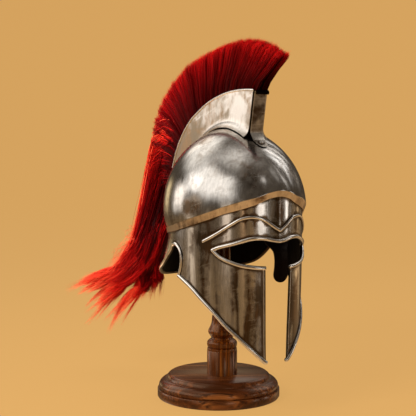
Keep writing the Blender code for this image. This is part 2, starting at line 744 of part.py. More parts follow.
def trimmed(path, start, end):
    """The path shortened by real lengths at its two ends."""
    fine = resample(path, 200)
    step = path_length(fine) / 200
    first, last = int(round(start / step)), 200 - int(round(end / step))
    return fine[first:last + 1]


def make_rims(look, collection, cutters):
    """Half-round edging rods on the eyes, cheeks, ears and neck, and the raised brow rod."""
    brow = on_face(to_real(smooth_path(BROW)), RIM_PROUD)
    brow_line = mirrored(brow)[:0:-1] + brow
    eye_rim = as_mesh(rod("eye_rim", brow_line, RIM_DIAMETER, look, collection))
    under_eye = trimmed(to_real(smooth_path(EYE_LOWER)), 0.0, EYE_CORNER_TRIM * RIM_DIAMETER)
    lower = on_face(under_eye, RIM_PROUD)
    lowers = [
        as_mesh(rod("eye_rim_lower_left", lower, RIM_DIAMETER, look, collection)),
        as_mesh(rod("eye_rim_lower_right", mirrored(lower), RIM_DIAMETER, look, collection)),
    ]
    join(eye_rim, lowers, cutters)

    cheek = on_face(to_real(smooth_path(CHEEK_EDGE)), RIM_PROUD)
    rod("cheek_rim_left", cheek, RIM_DIAMETER, look, collection)
    rod("cheek_rim_right", mirrored(cheek), RIM_DIAMETER, look, collection)
    ear_path = to_real(smooth_path(EAR_FRONT)) + to_real(smooth_path(EAR_BACK))[1:]
    ear = on_face(trimmed(ear_path, RIM_DIAMETER, 0.3 * RIM_DIAMETER), RIM_PROUD)
    rod("ear_rim_left", ear, RIM_DIAMETER, look, collection)
    rod("ear_rim_right", mirrored(ear), RIM_DIAMETER, look, collection)
    neck = on_face(to_real(smooth_path(NECK_EDGE)), RIM_PROUD)
    neck_line = neck + mirrored(neck)[-2::-1]
    rod("neck_rim", neck_line, RIM_DIAMETER, look, collection)

    over_brow = on_face(to_real(smooth_path(BROW_ROD)), 2 * GAP)
    half_round = [
        (BROW_ROD_HEIGHT * math.sin(turn), BROW_ROD_WIDTH / 2 * math.cos(turn))
        for turn in (math.pi * step / 6 for step in range(7))
    ]
    section = bpy.data.curves.new("half round", "CURVE")
    outline = section.splines.new("POLY")
    outline.points.add(len(half_round) - 1)
    for point, (out, across) in zip(outline.points, half_round):
        point.co = (out, across, 0.0, 1.0)
    outline.use_cyclic_u = True
    guide = bpy.data.objects.new("half round", section)
    cutters.objects.link(guide)
    guide.hide_render = True
    bead = rod("brow_rod", mirrored(over_brow)[:0:-1] + over_brow, BROW_ROD_WIDTH, look, collection)
    bead.data.twist_mode = "Z_UP"
    bead.data.bevel_mode = "OBJECT"
    bead.data.bevel_object = guide


def holder_top(angle):
    """Top edge of the crest holder in the middle plane."""
    turn = math.radians(angle)
    reach = HELMET_HEIGHT * lookup(HOLDER_TOP_PATH, angle)
    return Vector((
        0.0, -SKULL_FORWARD + reach * math.sin(turn), share_height(GIRTH_SHARE) + reach * math.cos(turn),
    ))


def make_holder(look, collection):
    """Two upright side plates with feet spread on the skull, each with a rolled top edge."""
    spread = (HOLDER_FOOT_WIDTH - HOLDER_WIDTH) / 2
    edge_proud = HOLDER_RIM_DIAMETER / 2 - SHEET
    inset = rim_inset(HOLDER_RIM_DIAMETER, edge_proud)
    grid = []
    top_line = []
    for station in range(HOLDER_STATIONS + 1):
        share = station / HOLDER_STATIONS
        foot_angle = HOLDER_FOOT_FRONT + (HOLDER_BACK - HOLDER_FOOT_FRONT) * share
        top_angle = HOLDER_TOP[0].angle + (HOLDER_BACK - HOLDER_TOP[0].angle) * share
        foot = over_skull(foot_angle, HOLDER_FOOT_WIDTH / 2, SHEET + 2 * GAP)
        top = holder_top(top_angle)
        top_line.append(top)
        rise = Vector((0.0, top.y - foot.y, top.z - foot.z))
        reach = 1 - inset / rise.length
        line = []
        for way, wide in HOLDER_SECTION:
            spot = foot + rise * way * reach
            spot.x = HOLDER_WIDTH / 2 + spread * wide
            line.append(spot)
        grid.append(line)
    mesh = bmesh.new()
    add_grid(mesh, grid)
    data = finished_mesh("crest_side_left", mesh)
    left = keep("crest_side_left", data, look, collection)
    add_sheet_thickness(left, SHEET)
    mesh = bmesh.new()
    add_grid(mesh, [[Vector((-spot.x, spot.y, spot.z)) for spot in line] for line in grid[::-1]])
    right = keep("crest_side_right", finished_mesh("crest_side_right", mesh), look, collection)
    add_sheet_thickness(right, SHEET)
    aside = HOLDER_WIDTH / 2 + edge_proud
    edge = [Vector((aside, spot.y, spot.z)) for spot in top_line]
    rod("crest_edge_left", edge, HOLDER_RIM_DIAMETER, look, collection)
    rod("crest_edge_right", mirrored(edge), HOLDER_RIM_DIAMETER, look, collection)


def make_strap(look, rivet_look, collection):
    """Strip that closes the holder's front, with a tongue riveted to the skull."""
    half = STRAP_WIDTH / 2
    across = (-1.0, -0.5, 0.0, 0.5, 1.0)
    grid = []
    for back, height in STRAP_PATH:
        y = -SKULL_FORWARD + back * HELMET_HEIGHT
        z = share_height(GIRTH_SHARE) + height * HELMET_HEIGHT
        grid.append([Vector((share * half, y, z)) for share in across])
    for angle, wide in STRAP_TONGUE:
        grid.append([over_skull(angle, share * half * wide, SHEET + GAP) for share in across])
    mesh = bmesh.new()
    add_grid(mesh, grid[::-1])
    strap = keep("crest_strap", finished_mesh("crest_strap", mesh), look, collection)
    add_sheet_thickness(strap, SHEET)

    seat = over_skull(RIVET_ANGLE, 0.0, SHEET + 2 * GAP)
    ahead = over_skull(RIVET_ANGLE - 2, 0.0) - over_skull(RIVET_ANGLE + 2, 0.0)
    upright = Vector((0.0, ahead.z, -ahead.y)).normalized()
    radius = RIVET_DIAMETER / 2
    profile = [
        (radius * math.sin(turn), RIVET_HEIGHT * math.cos(turn))
        for turn in (math.radians(18 * step) for step in range(6))
    ]
    rivet = turned("strap_rivet", profile + [(0.0, 0.0)], 12, seat, rivet_look, collection)
    rivet.rotation_euler = Vector((0.0, 0.0, 1.0)).rotation_difference(upright).to_euler()


def fan_ring(share, swell):
    """Outline of the hair fan at a share of its way from front to back, out along one side and back."""
    rows = smooth_path(FAN)
    row = Tuft(*rows[round(share * (len(rows) - 1))])
    root_half = HOLDER_WIDTH / 2 - SHEET - GAP
    front, back = HOLDER_TOP[0].angle + FAN_INSET, HOLDER_BACK - FAN_INSET
    root_angle = front + (back - front) * share
    root = over_skull(root_angle, 0.0, 2 * GAP)
    brim = holder_top(root_angle)
    turn = math.radians(row.tip_angle)
    reach = HAIR_REACH * row.reach * (1 - LOCK_RELIEF * (1 - swell))
    tip = Vector((
        0.0, -SKULL_FORWARD + reach * math.sin(turn), share_height(GIRTH_SHARE) + reach * math.cos(turn),
    ))
    half = HAIR_TIP_WIDTH / 2 * row.width * (1 - LOCK_GROOVE * (1 - swell))
    clear = (tip - brim).normalized() * (HOLDER_RIM_DIAMETER / 2 + 3 * GAP)
    sides = [(root, root_half), (brim + clear, root_half)]
    for side in FAN_SIDES:
        sides.append((brim.lerp(tip, side.way), root_half * side.root_part + half * side.tip_part))
    ring = [Vector((-wide, spot.y, spot.z)) for spot, wide in sides]
    ring.append(tip)
    return ring + [Vector((wide, spot.y, spot.z)) for spot, wide in sides[::-1]]


def make_fan(look, collection):
    """Stiff brush of hair standing in the holder, its locks fused to one backing."""
    rings = [
        fan_ring(station / HAIR_STATIONS, station % 2) for station in range(HAIR_STATIONS + 1)
    ]
    closed_loft("plume_fan", rings, look, collection)


def closed_loft(name, rings, look, collection):
    """Solid skinned over closed rings, with both ends filled."""
    mesh = bmesh.new()
    loops = [[mesh.verts.new(spot) for spot in ring] for ring in rings]
    for low, high in zip(loops, loops[1:]):
        for index in range(len(low)):
            after = (index + 1) % len(low)
            mesh.faces.new((low[index], low[after], high[after], high[index]))
    mesh.faces.new(loops[0][::-1])
    mesh.faces.new(loops[-1])
    bmesh.ops.recalc_face_normals(mesh, faces=mesh.faces)
    return keep(name, finished_mesh(name, mesh, 60.0), look, collection)


def tail_spot(right, back, height):
    """Place in shares of TAIL_THICKNESS from the stand's axis at the floor."""
    return Vector((right, back, height)) * TAIL_THICKNESS


def lock_rings(lock):
    """Outlines along a lock, bowed up a little and tapering from the tail to its end."""
    bend = TAIL[lock.start_bend]
    aside = bend.deep * lock.side
    back, up = LOCK_LEAVES
    start = tail_spot(bend.right, bend.back + back * aside, bend.height + up * aside)
    end = tail_spot(lock.right, lock.back, lock.height)
    bow = Vector((0.0, 0.0, LOCK_BOW * TAIL_THICKNESS))
    turns = [2 * math.pi * k / LOCK_SIDES for k in range(LOCK_SIDES)]
    rings = []
    for step in range(LOCK_STATIONS + 1):
        t = step / LOCK_STATIONS
        middle = start.lerp(end, t) + bow * (4 * t * (1 - t))
        frame = (end - start + bow * (4 - 8 * t)).to_track_quat("Z", "Y")
        size = lock.thickness * TAIL_THICKNESS * (1 - LOCK_TAPER * t ** 1.5)
        rings.append([
            middle + frame @ Vector((LOCK_FLATNESS * size * math.cos(turn), size * math.sin(turn), 0.0))
            for turn in turns
        ])
    return rings


def make_tail(look, collection, cutters):
    """Hair hanging behind the neck and swept back and to the right, in locks fused to its body."""
    end = fan_ring(1.0, HAIR_STATIONS % 2)
    below = (end[-1] - end[0]).cross(end[len(end) // 2] - end[0]).normalized()
    below *= math.copysign(1.0, -below.z)
    rings = [[spot + below * drop for spot in end] for drop in (2 * GAP, TAIL_CLEAR)]
    ripples = [1 - LOCK_GROOVE * (step % 2) for step in range(len(TAIL_SIDES))]
    bends = [Bend(*row) for row in smooth_path(TAIL)][::SMOOTHING // 2]
    for index, bend in enumerate(bends):
        middle = tail_spot(bend.right, bend.back, bend.height)
        lean = index / (len(bends) - 1)
        deep = (Vector((0.0, 1.0, 0.0)) + lean * Vector(TAIL_DEEP_TURN)).normalized()
        across = (Vector((1.0, 0.0, 0.0)) + lean * Vector(TAIL_ACROSS_TURN)).normalized()
        deep *= bend.deep * TAIL_THICKNESS
        across *= bend.across * TAIL_THICKNESS
        ring = [middle + deep * side.deep - across * side.across * r for side, r in zip(TAIL_SIDES, ripples)]
        ring.append(middle + deep)
        for side, ripple in zip(TAIL_SIDES[::-1], ripples[::-1]):
            ring.append(middle + deep * side.deep + across * side.across * ripple)
        rings.append(ring)
    tail = closed_loft("plume_tail", rings, look, collection)
    locks = []
    for number, lock in enumerate(LOCKS):
        locks.append(closed_loft("tail_lock_%d" % (number + 1), lock_rings(lock), look, collection))
    join(tail, locks, cutters)


def make_stand(look, collection):
    """Turned base, turned column set a little forward on it, and the plain head inside the helmet."""
    base = [(row.radius * BASE_DIAMETER / 2, row.height * BASE_HEIGHT) for row in BASE_PROFILE]
    turned("stand_base", base, BASE_SIDES, (0.0, 0.0, 0.0), look, collection)

    centre = Vector((0.0, -COLUMN_FORWARD, 0.0))
    radius = HEAD_DIAMETER / 2
    head_top = share_height(1.0)
    for ring in range(9):
        for step in range(24):
            reach = radius * ring / 8
            turn = 2 * math.pi * step / 24
            x, y = reach * math.sin(turn), centre.y + reach * math.cos(turn)
            clear = inner_crown(x, y) - GAP + HEAD_DROP * (reach / radius) ** 2
            head_top = min(head_top, clear)
    profile = [(0.0, 0.0)] + [
        (radius * step / 6, -HEAD_DROP * (step / 6) ** 2) for step in range(1, 7)
    ]
    profile += [(radius, -HEAD_HEIGHT), (0.0, -HEAD_HEIGHT)]
    turned("stand_head", profile, COLUMN_SIDES, (0.0, centre.y, head_top), look, collection)

    low, high = BASE_HEIGHT + GAP, head_top - HEAD_HEIGHT - GAP
    column = [(0.0, high)]
    for row in COLUMN_PROFILE:
        column.append((row.radius * COLUMN_DIAMETER / 2, low + row.height * (high - low)))
    column.append((0.0, low))
    turned("stand_column", column, COLUMN_SIDES, (0.0, centre.y, 0.0), look, collection)


def inner_crown(x, y):
    """Height of the skull's inner face over a point of the plan, allowing for its flat facets."""
    side = x / (SKULL_WIDTH / 2)
    ahead = (y + SKULL_FORWARD) / (SKULL_LENGTH / 2)
    scale = math.hypot(side, ahead)
    girth = share_height(GIRTH_SHARE)
    rise = (1 - scale ** DOME_FULLNESS) ** (1 / CROWN_FULLNESS)
    return girth + (share_height(1.0) - girth) * rise - 2.2 * SHEET


def main():
    for thing in list(bpy.data.objects):
        bpy.data.objects.remove(thing)
    scene = bpy.context.scene
    parts = bpy.data.collections.new("corinthian helmet")
    cutters = bpy.data.collections.new("cutters")
    scene.collection.children.link(parts)
    scene.collection.children.link(cutters)

    steel = material("polished steel", (0.60, 0.57, 0.53), 0.22, 1.0)
    dark_steel = material("blackened steel", (0.03, 0.025, 0.02), 0.55, 1.0)
    hair = material("red horsehair", (0.45, 0.01, 0.015), 0.6, 0.0)
    wood = material("dark turned wood", (0.09, 0.025, 0.012), 0.3, 0.0)

    make_face_plate(steel, parts)
    make_skull(steel, parts)
    make_nasal(dark_steel, parts)
    make_rims(steel, parts, cutters)
    make_holder(steel, parts)
    make_strap(dark_steel, steel, parts)
    make_fan(hair, parts)
    make_tail(hair, parts, cutters)
    make_stand(wood, parts)


main()
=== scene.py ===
"""Looks of the corinthian helmet: hand-worn steel, red horsehair and a dark turned stand, in metres."""

import math

import bmesh
import bpy
import numpy as np
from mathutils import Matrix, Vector


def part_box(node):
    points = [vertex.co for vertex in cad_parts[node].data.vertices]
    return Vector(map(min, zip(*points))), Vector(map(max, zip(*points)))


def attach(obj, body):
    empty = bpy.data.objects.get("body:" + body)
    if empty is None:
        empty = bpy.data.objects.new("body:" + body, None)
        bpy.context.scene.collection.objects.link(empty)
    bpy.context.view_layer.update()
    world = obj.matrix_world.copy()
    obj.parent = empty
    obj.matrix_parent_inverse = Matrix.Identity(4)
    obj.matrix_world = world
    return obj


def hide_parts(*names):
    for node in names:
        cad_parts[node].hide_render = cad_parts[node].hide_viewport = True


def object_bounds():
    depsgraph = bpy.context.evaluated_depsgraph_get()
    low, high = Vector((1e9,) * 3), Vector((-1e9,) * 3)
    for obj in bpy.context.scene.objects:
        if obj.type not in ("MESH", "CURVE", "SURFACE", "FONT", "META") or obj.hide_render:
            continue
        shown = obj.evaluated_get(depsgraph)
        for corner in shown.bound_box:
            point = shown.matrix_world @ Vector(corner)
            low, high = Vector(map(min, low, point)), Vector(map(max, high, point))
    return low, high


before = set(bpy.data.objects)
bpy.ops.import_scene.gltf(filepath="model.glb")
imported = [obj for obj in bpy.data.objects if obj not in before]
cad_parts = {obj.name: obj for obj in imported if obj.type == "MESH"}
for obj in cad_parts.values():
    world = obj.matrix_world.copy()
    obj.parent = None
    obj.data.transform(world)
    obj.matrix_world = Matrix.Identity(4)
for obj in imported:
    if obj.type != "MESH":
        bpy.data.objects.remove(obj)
cad_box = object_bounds()
chance = np.random.default_rng(7)

# ---- Face plate ---------------------------------------------------------------------------
# The forehead band, both cheek guards and the flared neck guard are one sheet of 1.2 mm steel,
# cut open at the eyes, between the cheeks and at the ears. It is hammered to shape, polished by
# hand and left to tarnish: bright where it is rubbed, brown and streaked where it isn't. Long upright
# bands of painted reflection run over it, and painted shade darkens it beside its rods and hems.
CHIN, TALL = 0.087, 0.353  # height of the cheek tips, and from there to the crown
SHEET, WELD = 0.0012, 0.00002
FACE_LONG, FACE_WIDE, FACE_AHEAD = 0.2466, 0.1956, 0.0468
NAPE, EYE, EAR = 0.496, 0.462, 85  # shares of the height, and the angle in front of the ear
NAPE_FLARE, CHEEK_TUCK, CREASE = 0.0197, 0.0027, 0.0022


def level(share):
    """World height of a share of the helmet, from the cheek tips to the crown."""
    return CHIN + share * TALL


def ease(share):
    """Smooth step from 0 to 1."""
    share = np.clip(share, 0.0, 1.0)
    return share * share * (3 - 2 * share)


def along_curve(a, b, c, d, t):
    """Point at t between b and c on the smooth curve through a, b, c and d."""
    return (b + 0.5 * (c - a) * t + (a - 2.5 * b + 2 * c - 0.5 * d) * t**2
            + 0.5 * (3 * b - a - 3 * c + d) * t**3)


def smooth_rows(rows, steps=8, level_start=False):
    """Smooth curve through rows of numbers, with that many steps from row to row."""
    rows = [np.array(row, float) for row in rows]
    if level_start:
        rows.insert(0, np.array((-rows[1][0], *rows[1][1:])))
    path = []
    for index in range(len(rows) - 1):
        a, b = rows[max(index - 1, 0)], rows[index]
        c, d = rows[index + 1], rows[min(index + 2, len(rows) - 1)]
        path.extend(along_curve(a, b, c, d, t) for t in np.arange(steps) / steps)
    path.append(rows[-1])
    return np.array(path)


def to_heights(rows, **how):
    """Smooth path of (angle, height) from rows of (angle, share)."""
    path = smooth_rows(rows, **how)
    path[:, 1] = level(path[:, 1])
    return path


def face_point(angle, height, out=0.0):
    """Points of the face plate's outer face, moved outwards by out."""
    angle, height = np.broadcast_arrays(np.asarray(angle, float), np.asarray(height, float))
    turn = np.radians(angle)
    behind_ear = ease((np.abs(angle) - EAR) / 45)
    below_nape = np.minimum(np.maximum(level(NAPE) - height, 0.0) / (0.1756 * TALL), 1.3)
    spread = 1 + NAPE_FLARE / (FACE_LONG / 2) * below_nape ** 1.15 * behind_ear
    before_ear = 1 - ease((np.abs(angle) - EAR) / 30)
    below_eye = ease((level(EYE) - height) / (0.453 * TALL))
    spread = spread * (1 - CHEEK_TUCK / (FACE_WIDE / 2) * below_eye * before_ear)
    crease = CREASE * np.maximum(1 - np.abs(angle) / 18, 0.0) ** 1.5
    crease = crease * ease((height - level(0.40)) / (0.05 * TALL))
    x = (FACE_WIDE / 2 * spread + out) * np.sin(turn)
    y = -FACE_AHEAD - (FACE_LONG / 2 * spread + out) * np.cos(turn) - crease
    return np.stack((x, y, height), -1)


def face_out(angle, height):
    """Outward direction of the face plate."""
    step = 0.2
    around = face_point(angle + step, height) - face_point(angle - step, height)
    up = face_point(angle, height + 0.001) - face_point(angle, height - 0.001)
    out = np.cross(around, up)
    return out / np.linalg.norm(out, axis=-1, keepdims=True)


def stepped(path, count, crowd=1.0):
    """The path cut into count steps of real length, even or crowded towards its start."""
    spots = face_point(path[:, 0], path[:, 1])
    run = np.concatenate(([0.0], np.cumsum(np.linalg.norm(np.diff(spots, axis=0), axis=1))))
    want = run[-1] * np.linspace(0, 1, count + 1) ** crowd
    return np.stack([np.interp(want, run, path[:, k]) for k in (0, 1)], 1)


def straight(start, end, count):
    """Straight run of (angle, height) from start to end."""
    share = np.linspace(0, 1, count + 1)[:, None]
    return np.array(start) * (1 - share) + np.array(end) * share


def patch(bottom, top, left, right):
    """Grid of (angle, height) between four edges."""
    u = np.linspace(0, 1, len(bottom))[None, :, None]
    v = np.linspace(0, 1, len(left))[:, None, None]
    return ((1 - v) * bottom[None] + v * top[None] + (1 - u) * left[:, None] + u * right[:, None]
            - (1 - u) * (1 - v) * bottom[0] - u * (1 - v) * bottom[-1]
            - (1 - u) * v * top[0] - u * v * top[-1])


def add_grid(mesh, points, look=0):
    """Faces of a grid of points, rows from bottom to top, facing out to the left of travel."""
    verts = [[mesh.verts.new(point) for point in line] for line in points]
    for low, high in zip(verts, verts[1:]):
        for a, b, c, d in zip(low, low[1:], high[1:], high):
            mesh.faces.new((a, b, c, d)).material_index = look
    return verts


def new_object(name, data):
    """Object of a mesh, a light or a camera, placed in the scene."""
    thing = bpy.data.objects.new(name, data)
    bpy.context.scene.collection.objects.link(thing)
    return thing


def finish_piece(name, mesh, looks, mirror=False, thickness=0.0, sharp=35.0, rim=0):
    """Object of a bmesh: welded, mirrored to the other side, given a sheet's thickness and smoothed."""
    bmesh.ops.remove_doubles(mesh, verts=mesh.verts, dist=WELD)
    data = bpy.data.meshes.new(name)
    mesh.to_mesh(data)
    mesh.free()
    for look in looks:
        data.materials.append(look)
    piece = new_object(name, data)
    if mirror:
        half = piece.modifiers.new("mirror", "MIRROR")
        half.use_clip = True
        half.merge_threshold = WELD
    if thickness:
        solid = piece.modifiers.new("sheet", "SOLIDIFY")
        solid.thickness = thickness
        solid.offset = -1.0
        solid.material_offset = 1 if len(looks) > 1 else 0
        solid.material_offset_rim = rim
    if piece.modifiers:
        graph = bpy.context.evaluated_depsgraph_get()
        whole = bpy.data.meshes.new_from_object(piece.evaluated_get(graph))
        piece.modifiers.clear()
        piece.data = whole
        bpy.data.meshes.remove(data)
    piece.data.shade_smooth()
    piece.data.set_sharp_from_angle(angle=math.radians(sharp))
    return piece


def fit(piece, slot, *nodes):
    """The piece rides on the helmet's one body and stands for its nodes, which it hides; slot is not
    used.
    """
    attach(piece, "root")
    if nodes:
        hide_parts(*nodes)


def add_node(tree, kind, values=(), **settings):
    """New node with its settings, and its inputs set or linked."""
    made = tree.nodes.new(kind)
    for key, value in settings.items():
        setattr(made, key, value)
    for socket, value in dict(values).items():
        if isinstance(value, bpy.types.NodeSocket):
            tree.links.new(value, made.inputs[socket])
        else:
            made.inputs[socket].default_value = value
    return made


def maths(tree, how, *values):
    """What a Math node puts out."""
    return add_node(tree, "ShaderNodeMath", dict(enumerate(values)), operation=how).outputs[0]


def vector_maths(tree, how, first, second):
    """What a Vector Math node puts out; SCALE takes a number second."""
    place = "Scale" if how == "SCALE" else 1
    made = add_node(tree, "ShaderNodeVectorMath", {0: first, place: second}, operation=how)
    return made.outputs[0]


def noise(tree, place, scale, detail, **more):
    """Outputs of a noise: the first a number, Color three numbers."""
    values = {"Vector": place, "Scale": scale, "Detail": detail, **more}
    return add_node(tree, "ShaderNodeTexNoise", values).outputs


def remap(tree, value, low, high, curve="LINEAR"):
    """A value brought from the run low to high to the run 0 to 1."""
    values = {"Value": value, "From Min": low, "From Max": high}
    return add_node(tree, "ShaderNodeMapRange", values, interpolation_type=curve).outputs[0]


def colour_ramp(tree, place, colours):
    """Colour at a place on a ramp of (place, colour)."""
    ramp = add_node(tree, "ShaderNodeValToRGB", {"Fac": place})
    stops = ramp.color_ramp.elements
    while len(stops) < len(colours):
        stops.new(0.5)
    for stop, (at, colour) in zip(stops, colours):
        stop.position = at
        stop.color = (*colour, 1.0)
    return ramp.outputs["Color"]


def place_on(tree):
    """Place on the piece, in metres."""
    return add_node(tree, "ShaderNodeTexCoord").outputs["Object"]


def add_relief(tree, shader, strength, distance, height):
    """Lets a material look as uneven as a height."""
    values = {"Strength": strength, "Distance": distance, "Height": height}
    tree.links.new(add_node(tree, "ShaderNodeBump", values).outputs[0], shader.inputs["Normal"])


def new_look(name, **settings):
    """New material, its tree and its shader, whose settings are given by name with _ for spaces."""
    look = bpy.data.materials.new(name)
    look.use_nodes = True
    shader = look.node_tree.nodes["Principled BSDF"]
    for label, value in settings.items():
        shader.inputs[label.replace("_", " ")].default_value = value
    return look, look.node_tree, shader


def new_group(name, puts_out, **takes):
    """New node group: its tree, what it is given and what it puts out, which are all numbers. Names
    have _ for spaces, and a default of three numbers makes a vector."""
    tree = bpy.data.node_groups.new(name, "ShaderNodeTree")
    for label, value in takes.items():
        kind = "NodeSocketVector" if isinstance(value, tuple) else "NodeSocketFloat"
        socket = tree.interface.new_socket(label.replace("_", " "), in_out="INPUT", socket_type=kind)
        socket.default_value = value
    for label in puts_out:
        tree.interface.new_socket(label, in_out="OUTPUT", socket_type="NodeSocketFloat")
    return tree, tree.nodes.new("NodeGroupInput").outputs, tree.nodes.new("NodeGroupOutput").inputs


def use_group(tree, name, **values):
    """Outputs of a node group placed in a tree, its inputs given by name with _ for spaces."""
    values = {label.replace("_", " "): value for label, value in values.items()}
    return add_node(tree, "ShaderNodeGroup", values, node_tree=bpy.data.node_groups[name]).outputs


# Streaks left by rubbing up and down: broad ones and fine ones, long along Z.
tree, given, put = new_group(
    "rubbing_streaks", ("Broad", "Fine"), Vector=(0, 0, 0), Across=60.0, Along=7.0, Wander=0.012)
cloud = noise(tree, given["Vector"], 14.0, 2.0)["Color"]
drift = vector_maths(tree, "SUBTRACT", cloud, (0.5, 0.5, 0.5))
moved = vector_maths(tree, "ADD", given["Vector"], vector_maths(tree, "SCALE", drift, given["Wander"]))
across, along = given["Across"], given["Along"]
stretch = add_node(tree, "ShaderNodeCombineXYZ", {0: across, 1: across, 2: along}).outputs[0]
drawn = vector_maths(tree, "MULTIPLY", moved, stretch)
tree.links.new(noise(tree, drawn, 1.0, 3.0)[0], put["Broad"])
tree.links.new(noise(tree, drawn, 5.0, 4.0)[0], put["Fine"])

# Fine scratches, most of them lying across the sheet: 1 in a scratch, 0 beside it.
tree, given, put = new_group("cross_scratches", ("Mask",), Vector=(0, 0, 0), Tilt=0.3)
values = {"Vector": given["Vector"], "Angle": given["Tilt"]}
laid = add_node(tree, "ShaderNodeVectorRotate", values, rotation_type="X_AXIS").outputs[0]
drawn = vector_maths(tree, "MULTIPLY", laid, (22.0, 22.0, 520.0))
tree.links.new(remap(tree, noise(tree, drawn, 1.0, 2.0)[0], 0.60, 0.70), put["Mask"])

# Cloudy tarnish: a mask with soft, irregular edges.
tree, given, put = new_group(
    "tarnish_cloud", ("Mask",), Vector=(0, 0, 0), Scale=14.0, Start=0.45, End=0.65)
cloud = noise(tree, given["Vector"], given["Scale"], 6.0, Roughness=0.55, Distortion=0.6)[0]
tree.links.new(remap(tree, cloud, given["Start"], given["End"], "SMOOTHSTEP"), put["Mask"])

# A soft spot at a place, the same on both sides of the helmet.
tree, given, put = new_group(
    "soft_spot", ("Mask",), Vector=(0, 0, 0), Centre=(0, 0, 0), Reach=(0.03, 0.03, 0.03), Ragged=0.5)
both = add_node(tree, "ShaderNodeSeparateXYZ", {0: given["Vector"]}).outputs
aside = maths(tree, "ABSOLUTE", both[0])
folded = add_node(tree, "ShaderNodeCombineXYZ", {0: aside, 1: both[1], 2: both[2]}).outputs[0]
away = vector_maths(tree, "SUBTRACT", folded, given["Centre"])
sized = vector_maths(tree, "DIVIDE", away, given["Reach"])
far = add_node(tree, "ShaderNodeVectorMath", {0: sized}, operation="LENGTH").outputs["Value"]
edge = maths(tree, "SUBTRACT", noise(tree, given["Vector"], 38.0, 4.0)[0], 0.5)
total = maths(tree, "MULTIPLY_ADD", edge, given["Ragged"], far)
tree.links.new(remap(tree, total, 1.0, 0.35, "SMOOTHSTEP"), put["Mask"])


def mixed(tree, share, low, high, kind="RGBA"):
    """Mix of two colours or numbers by a share."""
    first, put_out = {"RGBA": (6, 2), "FLOAT": (2, 0)}[kind]
    low, high = ((*value, 1.0) if isinstance(value, tuple) else value for value in (low, high))
    values = {0: share, first: low, first + 1: high}
    return add_node(tree, "ShaderNodeMix", values, data_type=kind).outputs[put_out]


def painted_on(tree, label):
    """Number painted on the piece's points under a label."""
    return add_node(tree, "ShaderNodeAttribute", attribute_name=label).outputs["Fac"]


def worn_steel(name, bright, tarnish, stain, roughness, tarnish_from, spots=(), stripes=0.5,
               painted=(), waves=0.0, long=1.0, across=60.0):
    """Hand-worn steel: bright metal, cloudy tarnish, streaked rubbing, and spots and painted layers,
    dark (+) or bright (-), which several pieces use for painted reflections, highlights and shade.
    """
    look, tree, shader = new_look(name, Metallic=1.0)
    place = place_on(tree)
    streak = use_group(tree, "rubbing_streaks", Vector=place, Across=across)
    drawn = vector_maths(tree, "MULTIPLY", place, (1.0, 1.0, 1.0 / long))
    start, end = tarnish_from - 0.04, tarnish_from + 0.28
    cloud = use_group(tree, "tarnish_cloud", Vector=drawn, Start=start, End=end)
    mottle = use_group(tree, "tarnish_cloud", Vector=place, Scale=75.0, Start=0.34, End=0.68)
    scratch = use_group(tree, "cross_scratches", Vector=place, Tilt=0.35)
    striped = mixed(tree, streak["Broad"], 0.5 - stripes, 0.5 + stripes, "FLOAT")
    dark = maths(tree, "ADD", cloud["Mask"], striped)
    layers = [(mottle["Mask"], 0.36), (scratch["Mask"], -0.30)]
    for centre, reach, strength in spots:
        spot = use_group(tree, "soft_spot", Vector=place, Centre=centre, Reach=reach)
        layers.append((spot["Mask"], strength))
    layers += [(painted_on(tree, label), strength) for label, strength in painted]
    for layer, strength in layers:
        dark = maths(tree, "MULTIPLY_ADD", layer, strength, dark)
    share = remap(tree, dark, 0.50, 1.50, "SMOOTHSTEP")
    hue = use_group(tree, "tarnish_cloud", Vector=drawn, Scale=30.0, Start=0.40, End=0.62)["Mask"]
    rusty = tuple(part * shift for part, shift in zip(stain, (1.30, 1.0, 0.75)))
    stained = mixed(tree, streak["Fine"], tarnish, mixed(tree, hue, stain, rusty))
    dull, shiny = (tuple(part * much for part in bright) for much in (0.66, 1.26))
    brushed = mixed(tree, streak["Fine"], dull, shiny)
    tree.links.new(mixed(tree, share, brushed, stained), shader.inputs["Base Color"])
    rough = mixed(tree, streak["Fine"], roughness * 0.7, roughness * 1.3, "FLOAT")
    tree.links.new(maths(tree, "MULTIPLY_ADD", share, 0.12, rough), shader.inputs["Roughness"])
    height = maths(tree, "MULTIPLY_ADD", noise(tree, place, 21.0, 2.5)[0], waves, streak["Broad"])
    add_relief(tree, shader, 0.15, 0.0006, height)
    return look


# The face steel's spot is a painted highlight low on each cheek by the ear. Its first painted layer is
# painted shade, with some dirt, beside rods and hems; its second is painted reflections in long upright
# bands.
face_steel = worn_steel(
    "polished_face_steel", (0.72, 0.685, 0.64), (0.048, 0.036, 0.024), (0.19, 0.138, 0.085), 0.17, 0.5,
    spots=(((0.095, -0.050, 0.225), (0.020, 0.022, 0.040), -0.7),),
    stripes=0.60, painted=(("shade_and_grime", 1.5), ("reflection_streaks", 1.0)), waves=5.0, long=3.0, across=120.0)
# Near-black steel for the inner faces of the sheets, and for the strap's rim, where it is a painted
# shadow line.
near_black = worn_steel(
    "near_black_steel", (0.012, 0.008, 0.006), (0.004, 0.003, 0.002), (0.008, 0.005, 0.004), 0.6, 0.3)

RIDGE = smooth_rows((
    (0, 0.726), (11, 0.717), (19, 0.701), (31, 0.685), (46, 0.660), (61, 0.629), (80, 0.594),
    (99, 0.564), (125, 0.538), (150, 0.526), (180, 0.522)), level_start=True)
STEP = smooth_rows((
    (0, 1.0), (15, 1.08), (31, 1.32), (46, 1.23), (61, 1.17), (80, 1.10), (99, 0.98), (125, 0.75),
    (180, 0.70)), level_start=True)


def ridge_height(angle):
    """World height of the crisp edge where the skull stands out over the face plate."""
    return level(np.interp(np.abs(angle), RIDGE[:, 0], RIDGE[:, 1]))


def step_foot(angle):
    """World height of the foot of the step under that edge."""
    return ridge_height(angle) - 0.0093 * np.interp(np.abs(angle), STEP[:, 0], STEP[:, 1])


